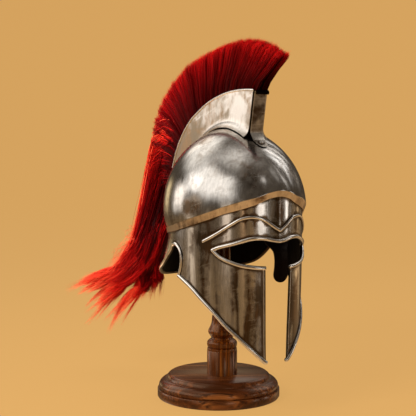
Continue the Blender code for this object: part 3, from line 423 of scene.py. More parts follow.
BROW = to_heights((
    (0, 0.512), (6.5, 0.517), (13, 0.5246), (20, 0.5265), (26.5, 0.5227), (32, 0.5144), (39, 0.5034),
    (46.4, 0.4924), (52, 0.483), (56.3, 0.4725)))
EYE_LOWER = to_heights((
    (12.8, 0.400), (21, 0.403), (30, 0.409), (35.5, 0.415), (41, 0.4244), (46, 0.4343), (51, 0.4484),
    (56.3, 0.4725)))
CHEEK_EDGE = to_heights((
    (11.3, 0.0), (14, 0.0085), (25, 0.058), (36, 0.109), (46, 0.156), (56, 0.2096), (66.5, 0.2578),
    (78, 0.3068), (92, 0.3456)))
EAR_FRONT = to_heights((
    (92, 0.3456), (90, 0.3697), (88.4, 0.4068), (88.6, 0.4374), (90.5, 0.4603), (94.2, 0.4759),
    (98.3, 0.4816)))
EAR_BACK = to_heights((
    (98.3, 0.4816), (102.5, 0.4745), (105, 0.4533), (109.5, 0.4292), (116, 0.3952), (122, 0.3697),
    (128, 0.3527), (136, 0.3399)))
NECK_EDGE = to_heights(((136, 0.3399), (144, 0.3229), (156, 0.3116), (180, 0.3074)))
BROW_ROD = to_heights((
    (0, 0.5575), (4.5, 0.5703), (8.5, 0.584), (12.5, 0.5977), (18, 0.6105), (26, 0.6142),
    (33.5, 0.6057), (39, 0.5898), (45.2, 0.5688), (51.5, 0.5462), (58.6, 0.5238), (64.3, 0.5079)))

eye, brow = stepped(EYE_LOWER, 42), stepped(BROW[::-1], 54)
split = 5 * 8
cheek, temple = stepped(CHEEK_EDGE[:split + 1], 42), stepped(CHEEK_EDGE[split:], 30)
ear_front = stepped(EAR_FRONT[::-1], 42, 1.4)[::-1]
ear_back, nape = stepped(EAR_BACK, 36, 1.4), stepped(NECK_EDGE, 36)
column = straight(cheek[-1], eye[-1], 42)
waist_temple = straight(eye[-1], ear_front[-1], 30)
waist_nape = straight(ear_front[-1], (180.0, ear_front[-1][1]), 36)
waist = np.concatenate((brow[::-1], waist_temple[1:], waist_nape[1:]))
hidden_top = np.stack((waist[:, 0], step_foot(waist[:, 0]) + 0.003), 1)
rise = np.linspace(0, 1, 15)[:, None, None]
mesh = bmesh.new()
for grid in (
    waist[None] * (1 - rise) + hidden_top[None] * rise,
    patch(cheek, eye, straight(cheek[0], eye[0], 42), column),
    patch(temple, waist_temple, column, ear_front),
    patch(nape, waist_nape, ear_back[::-1], straight(nape[-1], waist_nape[-1], 36)),
):
    add_grid(mesh, face_point(grid[..., 0], grid[..., 1]))
sheet = finish_piece("face_plate_sheet", mesh, (face_steel, near_black), mirror=True, thickness=SHEET)
fit(sheet, "polished_steel", "face_plate")


def paint(piece, label, numbers_at):
    """Gives every point of a piece a number, worked out from its place, that the material reads."""
    data = piece.data
    spots = np.empty(len(data.vertices) * 3, np.float32)
    data.vertices.foreach_get("co", spots)
    layer = data.attributes.new(label, "FLOAT", "POINT")
    layer.data.foreach_set("value", numbers_at(spots.reshape(-1, 3).astype(float)).astype(np.float32))


def where_on_face(spots):
    """Angle round the face plate, without its sign, and height of points on it."""
    side, ahead = np.abs(spots[:, 0]) / FACE_WIDE, -(spots[:, 1] + FACE_AHEAD) / FACE_LONG
    return np.degrees(np.arctan2(side, ahead)), spots[:, 2]


HEM_WIDE = 0.0047
DEGREE = 0.00196  # metres round the face plate in one degree of angle, at the front
front = stepped(straight(cheek[0], eye[0], 40), 60)
# Painted shade beside the rods and hem starts this far from their middle line and fades out over this
# width.
SHADE_GRIME_FROM, SHADE_GRIME_WIDE = 0.0030, 0.0046


def nearest(spots, line):
    """Distance from each spot to the nearest point of a line."""
    way = spots[:, None].astype(np.float32) - line[None].astype(np.float32)
    return np.min(np.linalg.norm(way, axis=2), axis=1)


def shade_and_grime_at(spots):
    """Painted shade beside rods, hems and the skull's ridge, with some of the dirt that polishing
    leaves there: 1 at a rod, 0 a way off.
    """
    near = np.stack((np.abs(spots[:, 0]), spots[:, 1], spots[:, 2]), 1)
    rods = (BROW, EYE_LOWER, CHEEK_EDGE, EAR_FRONT, EAR_BACK, NECK_EDGE, BROW_ROD)
    away = nearest(near, np.concatenate([face_point(path[::2, 0], path[::2, 1]) for path in rods]))
    angle, height = where_on_face(spots)
    away = np.minimum(away, np.maximum(step_foot(angle) - height, 0.0) + SHADE_GRIME_FROM)
    hem = face_point(front[:, 0] + (HEM_WIDE + 0.0010) / DEGREE, front[:, 1])
    away = np.minimum(away, nearest(near, hem) + 0.0038)
    return np.clip(1 - (away - SHADE_GRIME_FROM) / SHADE_GRIME_WIDE, 0, 1) ** 1.6


FADE = 0.08  # share of the height over which a streak fades out at its ends
# Angle, half width and strength of the longest painted reflections, and the shares of the height they
# run between.
REFLECTION_STREAKS = (
    (36.3, 1.5, 0.85, -0.2, 0.44), (40.5, 1.7, 0.45, -0.2, 0.44), (28.0, 2.2, 0.50, -0.2, 0.42),
    (21.0, 7.0, 0.62, -0.2, 0.38), (66.0, 5.5, 0.30, 0.1, 0.50), (47.5, 3.0, -0.15, 0.0, 0.44),
    (32.2, 1.2, -0.45, -0.2, 0.42), (76.0, 4.0, -0.40, 0.25, 0.50), (58.0, 1.4, -0.30, 0.0, 0.44),
    (54.0, 1.3, 0.35, 0.1, 0.44), (49.0, 9.0, -1.10, 0.54, 0.66), (69.0, 7.0, 0.75, 0.44, 0.58),
    (86.0, 6.0, -0.55, 0.46, 0.56), (3.0, 2.6, 0.75, 0.53, 0.72), (8.5, 1.2, -0.60, 0.53, 0.72),
    (12.0, 1.0, 0.45, 0.53, 0.72), (17.5, 2.4, -1.15, 0.50, 0.72), (23.0, 1.2, 0.65, 0.52, 0.72),
    (26.5, 1.3, -0.65, 0.52, 0.72), (30.0, 1.1, 0.50, 0.52, 0.72), (34.0, 1.6, -0.70, 0.52, 0.72),
    (38.5, 1.2, 0.45, 0.52, 0.70), (110.0, 9.0, 0.40, 0.35, 0.60), (150.0, 12.0, 0.25, 0.30, 0.60))


def reflection_streaks_at(spots):
    """Painted reflections: long dark (+) and bright (-) upright bands, standing for the room mirrored
    in the steel.
    """
    angle, height = where_on_face(spots)
    share = (height - CHIN) / TALL
    total = np.zeros(len(spots))
    for middle, half, strength, low, high in REFLECTION_STREAKS:
        wander = middle + half * 0.5 * np.sin(height * 45 + middle)
        run = ease((share - low) / FADE) * ease((high - share) / FADE)
        total += strength * np.exp(-((angle - wander) / half) ** 2) * run
    return total


# Painted shade, with some dirt, beside the rods, hems and ridge, and painted reflections in long
# upright bands.
paint(sheet, "shade_and_grime", shade_and_grime_at)
paint(sheet, "reflection_streaks", reflection_streaks_at)

# The front edge of each cheek guard is folded over, which leaves a narrow flat hem.
mesh = bmesh.new()
rubbed_and_highlit = mesh.verts.layers.float.new("rubbed_and_highlit")
# Rows of the hem: across from the folded edge, out from the sheet, and how bright it is painted, 1 for
# a painted highlight along its raised middle.
HEM = (
    (0.0, -0.0006, 0.0), (0.0, 0.0004, 0.0), (0.0006, 0.0009, 0.0), (0.0024, 0.0010, 0.1),
    (0.0032, 0.0012, 1.0), (0.0041, 0.0009, 1.0), (HEM_WIDE, -0.0003, 0.0))
rows = [face_point(front[:, 0] + aside / DEGREE, front[:, 1] + 0.0005, out) for aside, out, _ in HEM]
for line, (_, _, bright) in zip(add_grid(mesh, np.array(rows)[:, ::-1]), HEM):
    for vert in line:
        vert[rubbed_and_highlit] = bright
hem_steel = worn_steel(
    "hem_steel", (0.92, 0.88, 0.82), (0.03, 0.022, 0.015), (0.08, 0.06, 0.04), 0.32, 0.15,
    stripes=0.2, painted=(("rubbed_and_highlit", -1.7),))
fit(finish_piece("cheek_hems", mesh, (hem_steel,), mirror=True), "polished_steel")

# ---- Skull --------------------------------------------------------------------------------
# The dome is raised from one sheet and laps over the face plate. Its lower edge stands out in a
# crisp ridge and turns in below it, and that turned-in band is never polished, so it is brown.
SKULL_LONG, SKULL_WIDE, SKULL_AHEAD = 0.271, 0.2056, 0.044
GIRTH, CROWN = level(0.6232), level(1.0)
LIP, CLEAR = 0.0009, 0.0003  # height of the ridge's rounded lip, and air between two sheets
OVERHANG = smooth_rows(
    ((0, 1.0), (45, 0.95), (90, 0.55), (120, 0.5), (150, 0.65), (180, 0.75)), level_start=True)


def dome_scale(height):
    """Scale of the skull's plan at a height, full over the girth and tucked in below it."""
    rise = np.clip((height - GIRTH) / (CROWN - GIRTH), 0.0, 1.0)
    over = (1 - rise ** 2.2) ** (1 / 1.7)
    under = 1 - 0.0085 / (SKULL_LONG / 2) * ((GIRTH - height) / (0.1 * TALL)) ** 2
    return np.where(height > GIRTH, over, under)


def skull_scale(angle, height):
    """Scale of the skull's plan, drawn out to the ridge over its lowest part."""
    turn = np.radians(angle)
    overhang = 0.0065 * np.interp(np.abs(angle), OVERHANG[:, 0], OVERHANG[:, 1])
    side = SKULL_WIDE / 2 * np.sin(turn) / (FACE_WIDE / 2 + overhang)
    ahead = SKULL_LONG / 2 * np.cos(turn) / (FACE_LONG / 2 + overhang)
    shift = (SKULL_AHEAD - FACE_AHEAD) / (FACE_LONG / 2 + overhang)
    square = side ** 2 + ahead ** 2
    at_ridge = (-ahead * shift + np.sqrt((ahead * shift) ** 2 - square * (shift ** 2 - 1))) / square
    ridge = ridge_height(angle)
    pull = ease((ridge + 0.045 - height) / 0.045)
    return dome_scale(height) + (at_ridge - dome_scale(ridge)) * pull


def skull_point(angle, height):
    """Points of the skull's outer face."""
    angle, height = np.broadcast_arrays(np.asarray(angle, float), np.asarray(height, float))
    turn = np.radians(angle)
    scale = skull_scale(angle, height)
    x = SKULL_WIDE / 2 * scale * np.sin(turn)
    y = -SKULL_AHEAD - SKULL_LONG / 2 * scale * np.cos(turn)
    return np.stack((x, y, height), -1)


# The dome's three spots are painted reflections: dark patches standing for dark parts of the room
# mirrored in its polish.
dome_steel = worn_steel(
    "polished_dome_steel", (0.70, 0.675, 0.64), (0.085, 0.062, 0.040), (0.26, 0.20, 0.14), 0.17, 0.57,
    spots=(((0.040, -0.150, 0.366), (0.026, 0.030, 0.034), 0.45),
           ((0.092, -0.078, 0.316), (0.026, 0.034, 0.020), 0.70),
           ((0.050, -0.030, 0.415), (0.030, 0.030, 0.018), 0.40)),
    stripes=0.32, waves=7.0)
band_steel = worn_steel(
    "brown_band_steel", (1.0, 0.82, 0.63), (0.080, 0.050, 0.027), (0.30, 0.20, 0.12), 0.32, 0.52,
    spots=(((0.090, 0.0, 0.272), (0.035, 0.070, 0.035), -1.2),), stripes=0.8, waves=4.0)
angles = np.concatenate((waist[:, 0][:54], straight((waist[54, 0], 0), (180.0, 0), 110)[:, 0]))
ridge = ridge_height(angles)
foot = face_point(angles, step_foot(angles), SHEET * 1.25 + CLEAR)
top = skull_point(angles, ridge)
mesh = bmesh.new()
add_grid(mesh, [foot + (top - foot) * share for share in (0, 0.1, 0.5, 0.9, 0.97)], 2)
lip = [foot + (top - foot) * 0.97, top + (skull_point(angles, ridge + 0.0004) - top) * 0.7]
lip.append(skull_point(angles, ridge + LIP))
add_grid(mesh, lip, 0)
rows = []
for share in np.cos(np.pi / 2 * np.arange(70, 0, -1) / 70):
    rows.append(skull_point(angles, ridge + LIP + (CROWN - ridge - LIP) * share))
rows[0] = lip[-1]
ring = add_grid(mesh, rows)[-1]
pole = mesh.verts.new((0.0, -SKULL_AHEAD, CROWN))
for a, b in zip(ring, ring[1:]):
    mesh.faces.new((a, b, pole))
dome = finish_piece(
    "skull_dome", mesh, (dome_steel, near_black, band_steel, near_black), mirror=True, thickness=SHEET, sharp=50)
fit(dome, "polished_steel", "skull")

# ---- Edging rods --------------------------------------------------------------------------
# Round rod is brazed along every raw edge: over the brows, under both eyes, along the cheeks,
# round the ears and under the neck. Handling keeps the rods bright, and each carries a painted
# highlight along its crown and painted shade along its sides. A half-round rod with a V
# at the nose and a tail at each temple is brazed on over the brows.


def join_rings(mesh, rings, end=True):
    """Skin over closed rings of points, shut at the first ring and, if end is true, at the last."""
    loops = [[mesh.verts.new(point) for point in ring] for ring in rings]
    faces = [loops[0], loops[-1][::-1]] if end else [loops[0]]
    for low, high in zip(loops, loops[1:]):
        faces += [(low[k - 1], high[k - 1], high[k], low[k]) for k in range(len(low))]
    for face in faces:
        mesh.faces.new(face)
    return loops


def sweep(mesh, spots, outs, section, blunt):
    """Skin of a section of (across, out) carried along spots, its ends rounded off by blunt."""
    spots, outs, section = np.array(spots), np.array(outs), np.array(section)
    rubbed_and_highlit = mesh.verts.layers.float.get("rubbed_and_highlit") or mesh.verts.layers.float.new("rubbed_and_highlit")
    steps = np.diff(spots, axis=0)
    steps /= np.linalg.norm(steps, axis=1, keepdims=True)
    after = np.vstack((steps, steps[-1:]))
    along = np.vstack((steps[:1], steps)) + after
    along /= np.linalg.norm(along, axis=1, keepdims=True)
    mitre = 1 / np.maximum((along * after).sum(1), 0.5)
    across = np.cross(along, outs)
    across /= np.linalg.norm(across, axis=1, keepdims=True)
    outs = np.cross(across, along)
    rings = [spot + side * section[:, :1] * wide + out * section[:, 1:]
             for spot, side, wide, out in zip(spots, across, mitre, outs)]
    middle = section.mean(0)
    for end, way in ((0, -1), (-1, 1)):
        caps = []
        for turn in np.radians((30, 60, 80)):
            small = middle + (section - middle) * math.cos(turn)
            if section[:, 1].min() > -1e-4:
                small[:, 1] = section[:, 1] * math.cos(turn)
            reach = along[end] * way * blunt * math.sin(turn)
            caps.append(spots[end] + reach + across[end] * small[:, :1] + outs[end] * small[:, 1:])
        rings = rings + caps if end else caps[::-1] + rings
    # Painted highlight along the crown of the section and painted shade at its sides by the sheet: 1 on
    # the crown, 0 at the sides.
    worn = np.clip((section[:, 1] - section[:, 1].min()) / np.ptp(section[:, 1]) * 2.1 - 1.0, 0, 1)
    for loop in join_rings(mesh, rings):
        for vert, share in zip(loop, worn):
            vert[rubbed_and_highlit] = share


def round_section(radius, sides=14):
    """Points of a round section."""
    turns = np.arange(sides) * 2 * math.pi / sides
    return radius * np.stack((np.cos(turns), np.sin(turns)), 1)


def rod_on_face(mesh, path, section, blunt, both=True):
    """Rod along a path of (angle, height) on the face plate, and its twin on the other side."""
    fine = stepped(path, max(int(len(path) * 1.5), 12))
    spots, outs = face_point(fine[:, 0], fine[:, 1], 0.0002), face_out(fine[:, 0], fine[:, 1])
    sweep(mesh, spots, outs, section, blunt)
    if both:
        sweep(mesh, (spots * (-1, 1, 1))[::-1], (outs * (-1, 1, 1))[::-1], section, blunt)


def across_middle(path):
    """The path and its mirror image, as one run over the nose or the nape."""
    other = path[::-1].copy()
    if abs(path[0, 0]) < 1:
        other[:, 0] = -other[:, 0]
        return np.concatenate((other, path[1:]))
    other[:, 0] = 360 - other[:, 0]
    return np.concatenate((path, other[1:]))


ROD = 0.0031
# Rod steel is dark but where its painted layer lightens it: a painted highlight, partly real wear,
# along each rod's crown.
rod_steel = worn_steel(
    "rubbed_rod_steel", (1.0, 0.94, 0.87), (0.030, 0.022, 0.015), (0.10, 0.075, 0.05), 0.20, 0.15,
    stripes=0.25, painted=(("rubbed_and_highlit", -1.45),))
half_turn = np.arange(11) * math.pi / 10
half_round = np.stack((0.0028 * np.cos(half_turn), 0.0027 * np.sin(half_turn)), 1)
ear = np.concatenate((EAR_FRONT, EAR_BACK[1:]))
# Name, nodes that it stands for, and runs: path, section, how far the ends are rounded, and
# whether the run has a twin on the other side.
for name, nodes, runs in (
    ("eye_rods", ("eye_rim",), (
        (across_middle(BROW), round_section(ROD), ROD, False),
        (EYE_LOWER, round_section(ROD), ROD * 0.4, True))),
    ("cheek_rods", ("cheek_rim_left", "cheek_rim_right"), (
        (CHEEK_EDGE, round_section(ROD), ROD, True),)),
    ("ear_rods", ("ear_rim_left", "ear_rim_right"), (
        (ear, round_section(ROD * 0.9), ROD, True),)),
    ("neck_rod", ("neck_rim",), ((across_middle(NECK_EDGE), round_section(ROD), ROD, False),)),
    ("brow_bead", ("brow_rod",), ((across_middle(BROW_ROD), half_round, 0.0028, False),)),
):
    mesh = bmesh.new()
    for run in runs:
        rod_on_face(mesh, *run)
    fit(finish_piece(name, mesh, (rod_steel,), sharp=60), "polished_steel", *nodes)

# ---- Nose guard ---------------------------------------------------------------------------
# A tongue of thicker sheet, riveted behind the brow, and coloured near black as painted shade for
# the brow's shadow that it hangs in. It bows forward a little and ends in a round tip.
NOSE_WIDE, NOSE_LONG, NOSE_LAP, NOSE_BOW = 0.0256, 0.0607, 0.010, 0.0075
# Near black, as painted shade.
shaded_black_steel = worn_steel(
    "near_black_shaded_steel", (0.020, 0.015, 0.012), (0.006, 0.004, 0.003), (0.014, 0.009, 0.007), 0.48, 0.35)
rows = smooth_rows((
    (-NOSE_LAP, 1.75, 0.0), (-0.35 * NOSE_LAP, 1.75, 0.0), (0.35 * NOSE_LAP, 1.60, 0.0),
    (0.13 * NOSE_LONG, 1.25, 0.30), (0.24 * NOSE_LONG, 0.98, 0.75), (0.42 * NOSE_LONG, 0.90, 1.0),
    (0.62 * NOSE_LONG, 0.92, 1.0), (0.80 * NOSE_LONG, 1.0, 0.94), (0.90 * NOSE_LONG, 0.88, 0.86),
    (0.97 * NOSE_LONG, 0.56, 0.80), (NOSE_LONG, 0.22, 0.78)), steps=5)
brow_height = level(0.512)
BEHIND = -0.00225  # from the face plate's outer face to the guard's
crest = face_point(0.0, brow_height, BEHIND)[1]
grid = []
for below, half, bow in rows[::-1]:
    side = np.linspace(-1, 1, 25) * half * NOSE_WIDE / 2
    back = face_point(np.degrees(np.arcsin(side / (FACE_WIDE / 2))), brow_height, BEHIND)[:, 1]
    flat = 1 - ease(below / (0.3 * NOSE_LONG))
    y = crest + (back - crest) * (0.6 + 0.4 * flat) - NOSE_BOW * bow
    grid.append(np.stack((side, y, np.full(25, brow_height - below)), 1))
mesh = bmesh.new()
add_grid(mesh, grid)
guard = finish_piece("nose_guard", mesh, (shaded_black_steel,), thickness=0.0016)
fit(guard, "blackened_steel", "nasal_guard")

# ---- Crest holder -------------------------------------------------------------------------
# Two upright plates run over the skull from front to back and hold the hair between them. Their
# feet spread on the skull and are brazed to it, and their top edges are rolled over.
HOLDER_WIDE, HOLDER_FOOT = 0.024, 0.041
HOLDER_TOP = smooth_rows((
    (-22.2, 0.567), (-13, 0.5436), (-3, 0.5263), (7.6, 0.5145), (17.3, 0.5102), (27.8, 0.5094),
    (36.7, 0.5161), (51.8, 0.5224), (64.4, 0.5246), (75, 0.5198), (85, 0.507), (93, 0.490)))
HOLDER_START, HOLDER_END = HOLDER_TOP[0, 0], HOLDER_TOP[-1, 0]


def over_skull(angle, right=0.0, clear=0.0):
    """Points over the skull on rays from its middle at the girth: 0 straight up, 90 straight back."""
    angle, right = np.broadcast_arrays(np.asarray(angle, float), np.asarray(right, float))
    turn = np.radians(angle)
    ray = np.stack((0 * turn, np.sin(turn), np.cos(turn)), -1)
    middle = np.stack((right, np.full_like(right, -SKULL_AHEAD), np.full_like(right, GIRTH)), -1)
    near, far = np.zeros_like(turn), np.full_like(turn, TALL)
    for _ in range(36):
        reach = (near + far) / 2
        spot = middle + ray * reach[..., None]
        side = spot[..., 0] / (SKULL_WIDE / 2)
        ahead = -(spot[..., 1] + SKULL_AHEAD) / (SKULL_LONG / 2)
        plan = np.degrees(np.arctan2(np.abs(side), ahead))
        full = skull_scale(plan, np.minimum(spot[..., 2], CROWN))
        outside = (spot[..., 2] > CROWN) | (np.hypot(side, ahead) > full)
        far, near = np.where(outside, reach, far), np.where(outside, near, reach)
    return middle + ray * (far + clear)[..., None]


def behind_crown(angle, reach):
    """Points in the middle plane, reach away from the skull's middle at the girth."""
    turn = np.radians(angle)
    return np.stack((0 * turn, -SKULL_AHEAD + reach * np.sin(turn), GIRTH + reach * np.cos(turn)), -1)


def holder_top(angle):
    """Top edge of the holder in the middle plane."""
    return behind_crown(angle, TALL * np.interp(angle, HOLDER_TOP[:, 0], HOLDER_TOP[:, 1]))


# Holder steel: its first spot is painted shade low at the back, its second a painted highlight high at
# the front, and its painted layer a line of painted shade in the fold above each foot.
holder_steel = worn_steel(
    "beige_holder_steel", (0.98, 0.93, 0.87), (0.38, 0.30, 0.21), (0.56, 0.46, 0.34), 0.30, 0.50,
    spots=(((0.012, 0.070, 0.370), (0.030, 0.085, 0.100), 1.0),
           ((0.012, -0.070, 0.470), (0.030, 0.05, 0.04), -0.5)),
    stripes=0.22, painted=(("crease", 0.8),), waves=3.0)
share = np.linspace(0, 1, 121)
foot = over_skull(-28.3 + (HOLDER_END + 28.3) * share, HOLDER_FOOT / 2, SHEET * 1.5)
top = holder_top(HOLDER_START + (HOLDER_END - HOLDER_START) * share)
section = smooth_rows(
    ((0.0, 1.0), (0.05, 0.52), (0.12, 0.17), (0.24, 0.0), (0.62, 0.0), (1.0, 0.0)), steps=5)
rise = (top - foot) * (0.0, 1.0, 1.0)
grid = foot[:, None] + rise[:, None] * section[None, :, :1] * 0.995
grid[..., 0] = HOLDER_WIDE / 2 + (HOLDER_FOOT - HOLDER_WIDE) / 2 * section[:, 1]
mesh = bmesh.new()
add_grid(mesh, grid)
add_grid(mesh, (grid * (-1, 1, 1))[::-1])
plates = finish_piece("crest_plates", mesh, (near_black, holder_steel), thickness=SHEET, rim=1)
fit(plates, "polished_steel", "crest_side_left", "crest_side_right")


def crease_shade_at(spots):
    """Painted shade: a dark line along the fold where each plate turns out into its foot."""
    aside = (np.abs(spots[:, 0]) - HOLDER_WIDE / 2) / ((HOLDER_FOOT - HOLDER_WIDE) / 2)
    return np.exp(-((aside - 0.09) / 0.045) ** 2)


paint(plates, "crease", crease_shade_at)
mesh = bmesh.new()
ROLL = 0.0021
edge = top + (HOLDER_WIDE / 2 + SHEET / 2, 0, 0)
away = np.zeros_like(edge) + (1, 0, 0)
sweep(mesh, edge, away, round_section(ROLL, 10), ROLL)
sweep(mesh, (edge * (-1, 1, 1))[::-1], -away, round_section(ROLL, 10), ROLL)
edges = finish_piece("crest_rolled_edges", mesh, (rod_steel,), sharp=60)
fit(edges, "polished_steel", "crest_edge_left", "crest_edge_right")

# ---- Front strap --------------------------------------------------------------------------
# A strip of dark steel closes the holder's front. It is folded forward at the bottom into a
# tongue, which a single rivet fixes to the skull.
STRAP_WIDE = 0.0232
# Strap steel, lightened by painted highlights along its edges and round its tongue's rim and darkened
# by painted shade round the rivet.
strap_steel = worn_steel(
    "dark_strap_steel", (0.62, 0.57, 0.50), (0.035, 0.026, 0.017), (0.11, 0.078, 0.050), 0.30, 0.40,
    painted=(("edge_highlight_and_rivet_shade", -0.9),))
across = np.linspace(-1, 1, 17)[:, None] * (STRAP_WIDE / 2, 0, 0)
UPRIGHT = smooth_rows((
    (-0.2195, 0.5226), (-0.2040, 0.4360), (-0.1884, 0.3540), (-0.1890, 0.3440),
    (-0.1945, 0.3350)), steps=5)[:-1] * TALL
TONGUE = smooth_rows(
    ((-33.5, 0.90), (-36.2, 0.86), (-38.6, 0.74), (-40.4, 0.52), (-41.4, 0.22)), steps=5)
grid = [across + (0, back - SKULL_AHEAD, height + GIRTH) for back, height in UPRIGHT]
for angle, wide in TONGUE:
    grid.append(over_skull(np.full(17, angle), across[:, 0] * wide, SHEET + CLEAR))
CURL = 0.0022
grid[:1] = [grid[0] + (0, CURL * (math.cos(turn) - 1), CURL * (math.sin(turn) - 1))
            for turn in np.linspace(4.4, 0.0, 10)]
mesh = bmesh.new()
add_grid(mesh, grid[::-1])
# The strap's rim takes the near-black steel, a painted shadow line round its edges.
strap = finish_piece("crest_front_strap", mesh, (strap_steel, near_black), thickness=SHEET, rim=1)
fit(strap, "blackened_steel", "crest_strap")


def edge_highlight_and_rivet_shade_at(spots):
    """Painted highlights along the strap's edges, which handling also wears bright, and round its
    tongue's rim, and a ring of painted shade round its rivet.
    """
    edge = 0.7 * np.clip((np.abs(spots[:, 0]) / (STRAP_WIDE / 2) - 0.80) / 0.12, 0, 1)
    angle = -np.degrees(np.arctan2(spots[:, 1] + SKULL_AHEAD, spots[:, 2] - GIRTH))
    half = STRAP_WIDE / 2 * np.interp(angle, -TONGUE[:, 0], TONGUE[:, 1])
    start, end = -TONGUE[0, 0], -TONGUE[-1, 0]
    outward = np.maximum(np.abs(spots[:, 0]) / half, (angle - start) / (end - start))
    rim = ease((outward - 0.70) / 0.15)
    low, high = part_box("strap_rivet")
    off = np.linalg.norm(spots - (np.array(low) + np.array(high)) / 2, axis=1)
    ring = np.exp(-((off - 0.0045) / 0.0012) ** 2)
    on_tongue = ease((level(0.978) - spots[:, 2]) / 0.008)
    return edge * (1 - on_tongue) + on_tongue * (0.45 + 0.9 * rim - 0.9 * ring)


paint(strap, "edge_highlight_and_rivet_shade", edge_highlight_and_rivet_shade_at)


def recolour(node, look):
    """Gives a solid that the scene keeps as it is another material."""
    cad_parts[node].data.materials.clear()
    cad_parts[node].data.materials.append(look)


recolour("strap_rivet", worn_steel(
    "rivet_steel", (0.95, 0.92, 0.88), (0.25, 0.2, 0.15), (0.45, 0.38, 0.3), 0.30, 0.55, stripes=0.2))

# ---- Crest hair ---------------------------------------------------------------------------
# Dyed horsehair stands between the plates as a stiff brush, its tips trimmed to an even curve.
# It is coloured dark at the roots and bright at the tips, partly by dye and partly as painted shade
# deep in the hair, and it shags out and droops towards the back.
HAIR_REACH, TIP_WIDE = 0.260, 0.034
ROOT_HALF = HOLDER_WIDE / 2 - 0.0016
FAN = smooth_rows((
    (-31.4, 1.062, 0.50), (-20.5, 1.055, 0.62), (-9.5, 1.037, 0.70), (3.0, 1.016, 0.78),
    (14.6, 1.014, 0.84), (28.0, 1.049, 0.92), (41.0, 1.073, 1.0), (53.0, 1.090, 1.10),
    (64.0, 1.068, 1.22), (75.0, 1.052, 1.36), (88.0, 1.086, 1.50)))


def hair_look(name, colours, roughness):
    """Dyed hair, coloured from root to tip and darker towards the root, partly as painted shade; each
    hair is also lighter or darker by chance, and by painted shade where it lies deep in the hair.
    """
    look, tree, shader = new_look(name, Roughness=roughness, Specular_IOR_Level=0.06)
    along, tone_and_shade = painted_on(tree, "root_to_tip"), painted_on(tree, "tone_and_shade")
    place = maths(tree, "MULTIPLY_ADD", tone_and_shade, 0.5, along)
    tree.links.new(colour_ramp(tree, place, colours), shader.inputs["Base Color"])
    return look


def lay_hair(name, paths, facing, width, root_to_tip, tone_and_shade, look):
    """Flat tapering hairs along paths of (hair, station, xyz), each turned to face its own way."""
    count, stations = paths.shape[:2]
    side = np.cross(np.gradient(paths, axis=1), facing[:, None])
    side /= np.maximum(np.linalg.norm(side, axis=2, keepdims=True), 1e-9)
    taper = np.interp(np.linspace(0, 1, stations), (0, 0.15, 0.6, 1), (0.7, 1.0, 0.85, 0.10))
    wide = side * (taper[None, :, None] * width[:, None, None] / 2)
    verts = np.stack((paths - wide, paths + wide), 2)
    index = np.arange(count * stations * 2).reshape(count, stations, 2)
    quads = np.stack((index[:, :-1, 0], index[:, :-1, 1], index[:, 1:, 1], index[:, 1:, 0]), -1)
    data = bpy.data.meshes.new(name)
    data.vertices.add(index.size)
    data.vertices.foreach_set("co", verts.astype(np.float32).ravel())
    data.loops.add(quads.size)
    data.loops.foreach_set("vertex_index", quads.astype(np.int32).ravel())
    data.polygons.add(quads.size // 4)
    data.polygons.foreach_set("loop_start", np.arange(0, quads.size, 4, dtype=np.int32))
    for label, values in (("root_to_tip", root_to_tip), ("tone_and_shade", tone_and_shade[:, None])):
        layer = data.attributes.new(label, "FLOAT", "POINT")
        values = np.repeat(np.broadcast_to(values, (count, stations)), 2)
        layer.data.foreach_set("value", values.astype(np.float32))
    data.update(calc_edges=True)
    data.materials.append(look)
    data.shade_smooth()
    return new_object(name, data)


# Darker towards the root, partly as painted shade.
fan_hair = hair_look("red_brush_hair", (
    (0.0, (0.012, 0.0002, 0.0003)), (0.28, (0.050, 0.0005, 0.0008)), (0.56, (0.13, 0.0010, 0.0018)),
    (0.78, (0.46, 0.004, 0.005)), (1.0, (0.86, 0.022, 0.015))), 0.42)
BRIM_ANGLES = np.linspace(HOLDER_START + 0.8, HOLDER_END - 0.8, 81)
ROOTS = over_skull(BRIM_ANGLES, 0.0, 0.0006)


def fan_rows(share):
    """Root, brim and tip of the brush in the middle plane at shares of its way, and its half width."""
    place = share * (len(FAN) - 1)
    tip_angle, reach, wide = (np.interp(place, np.arange(len(FAN)), FAN[:, k]) for k in range(3))
    brim_angle = BRIM_ANGLES[0] + (BRIM_ANGLES[-1] - BRIM_ANGLES[0]) * share
    root = np.stack([np.interp(brim_angle, BRIM_ANGLES, ROOTS[:, k]) for k in range(3)], -1)
    tip = behind_crown(tip_angle, reach * HAIR_REACH)
    return root, holder_top(brim_angle), tip, TIP_WIDE / 2 * wide


BRUSH_END, BRUSH_HAIRS = 0.86, 31000


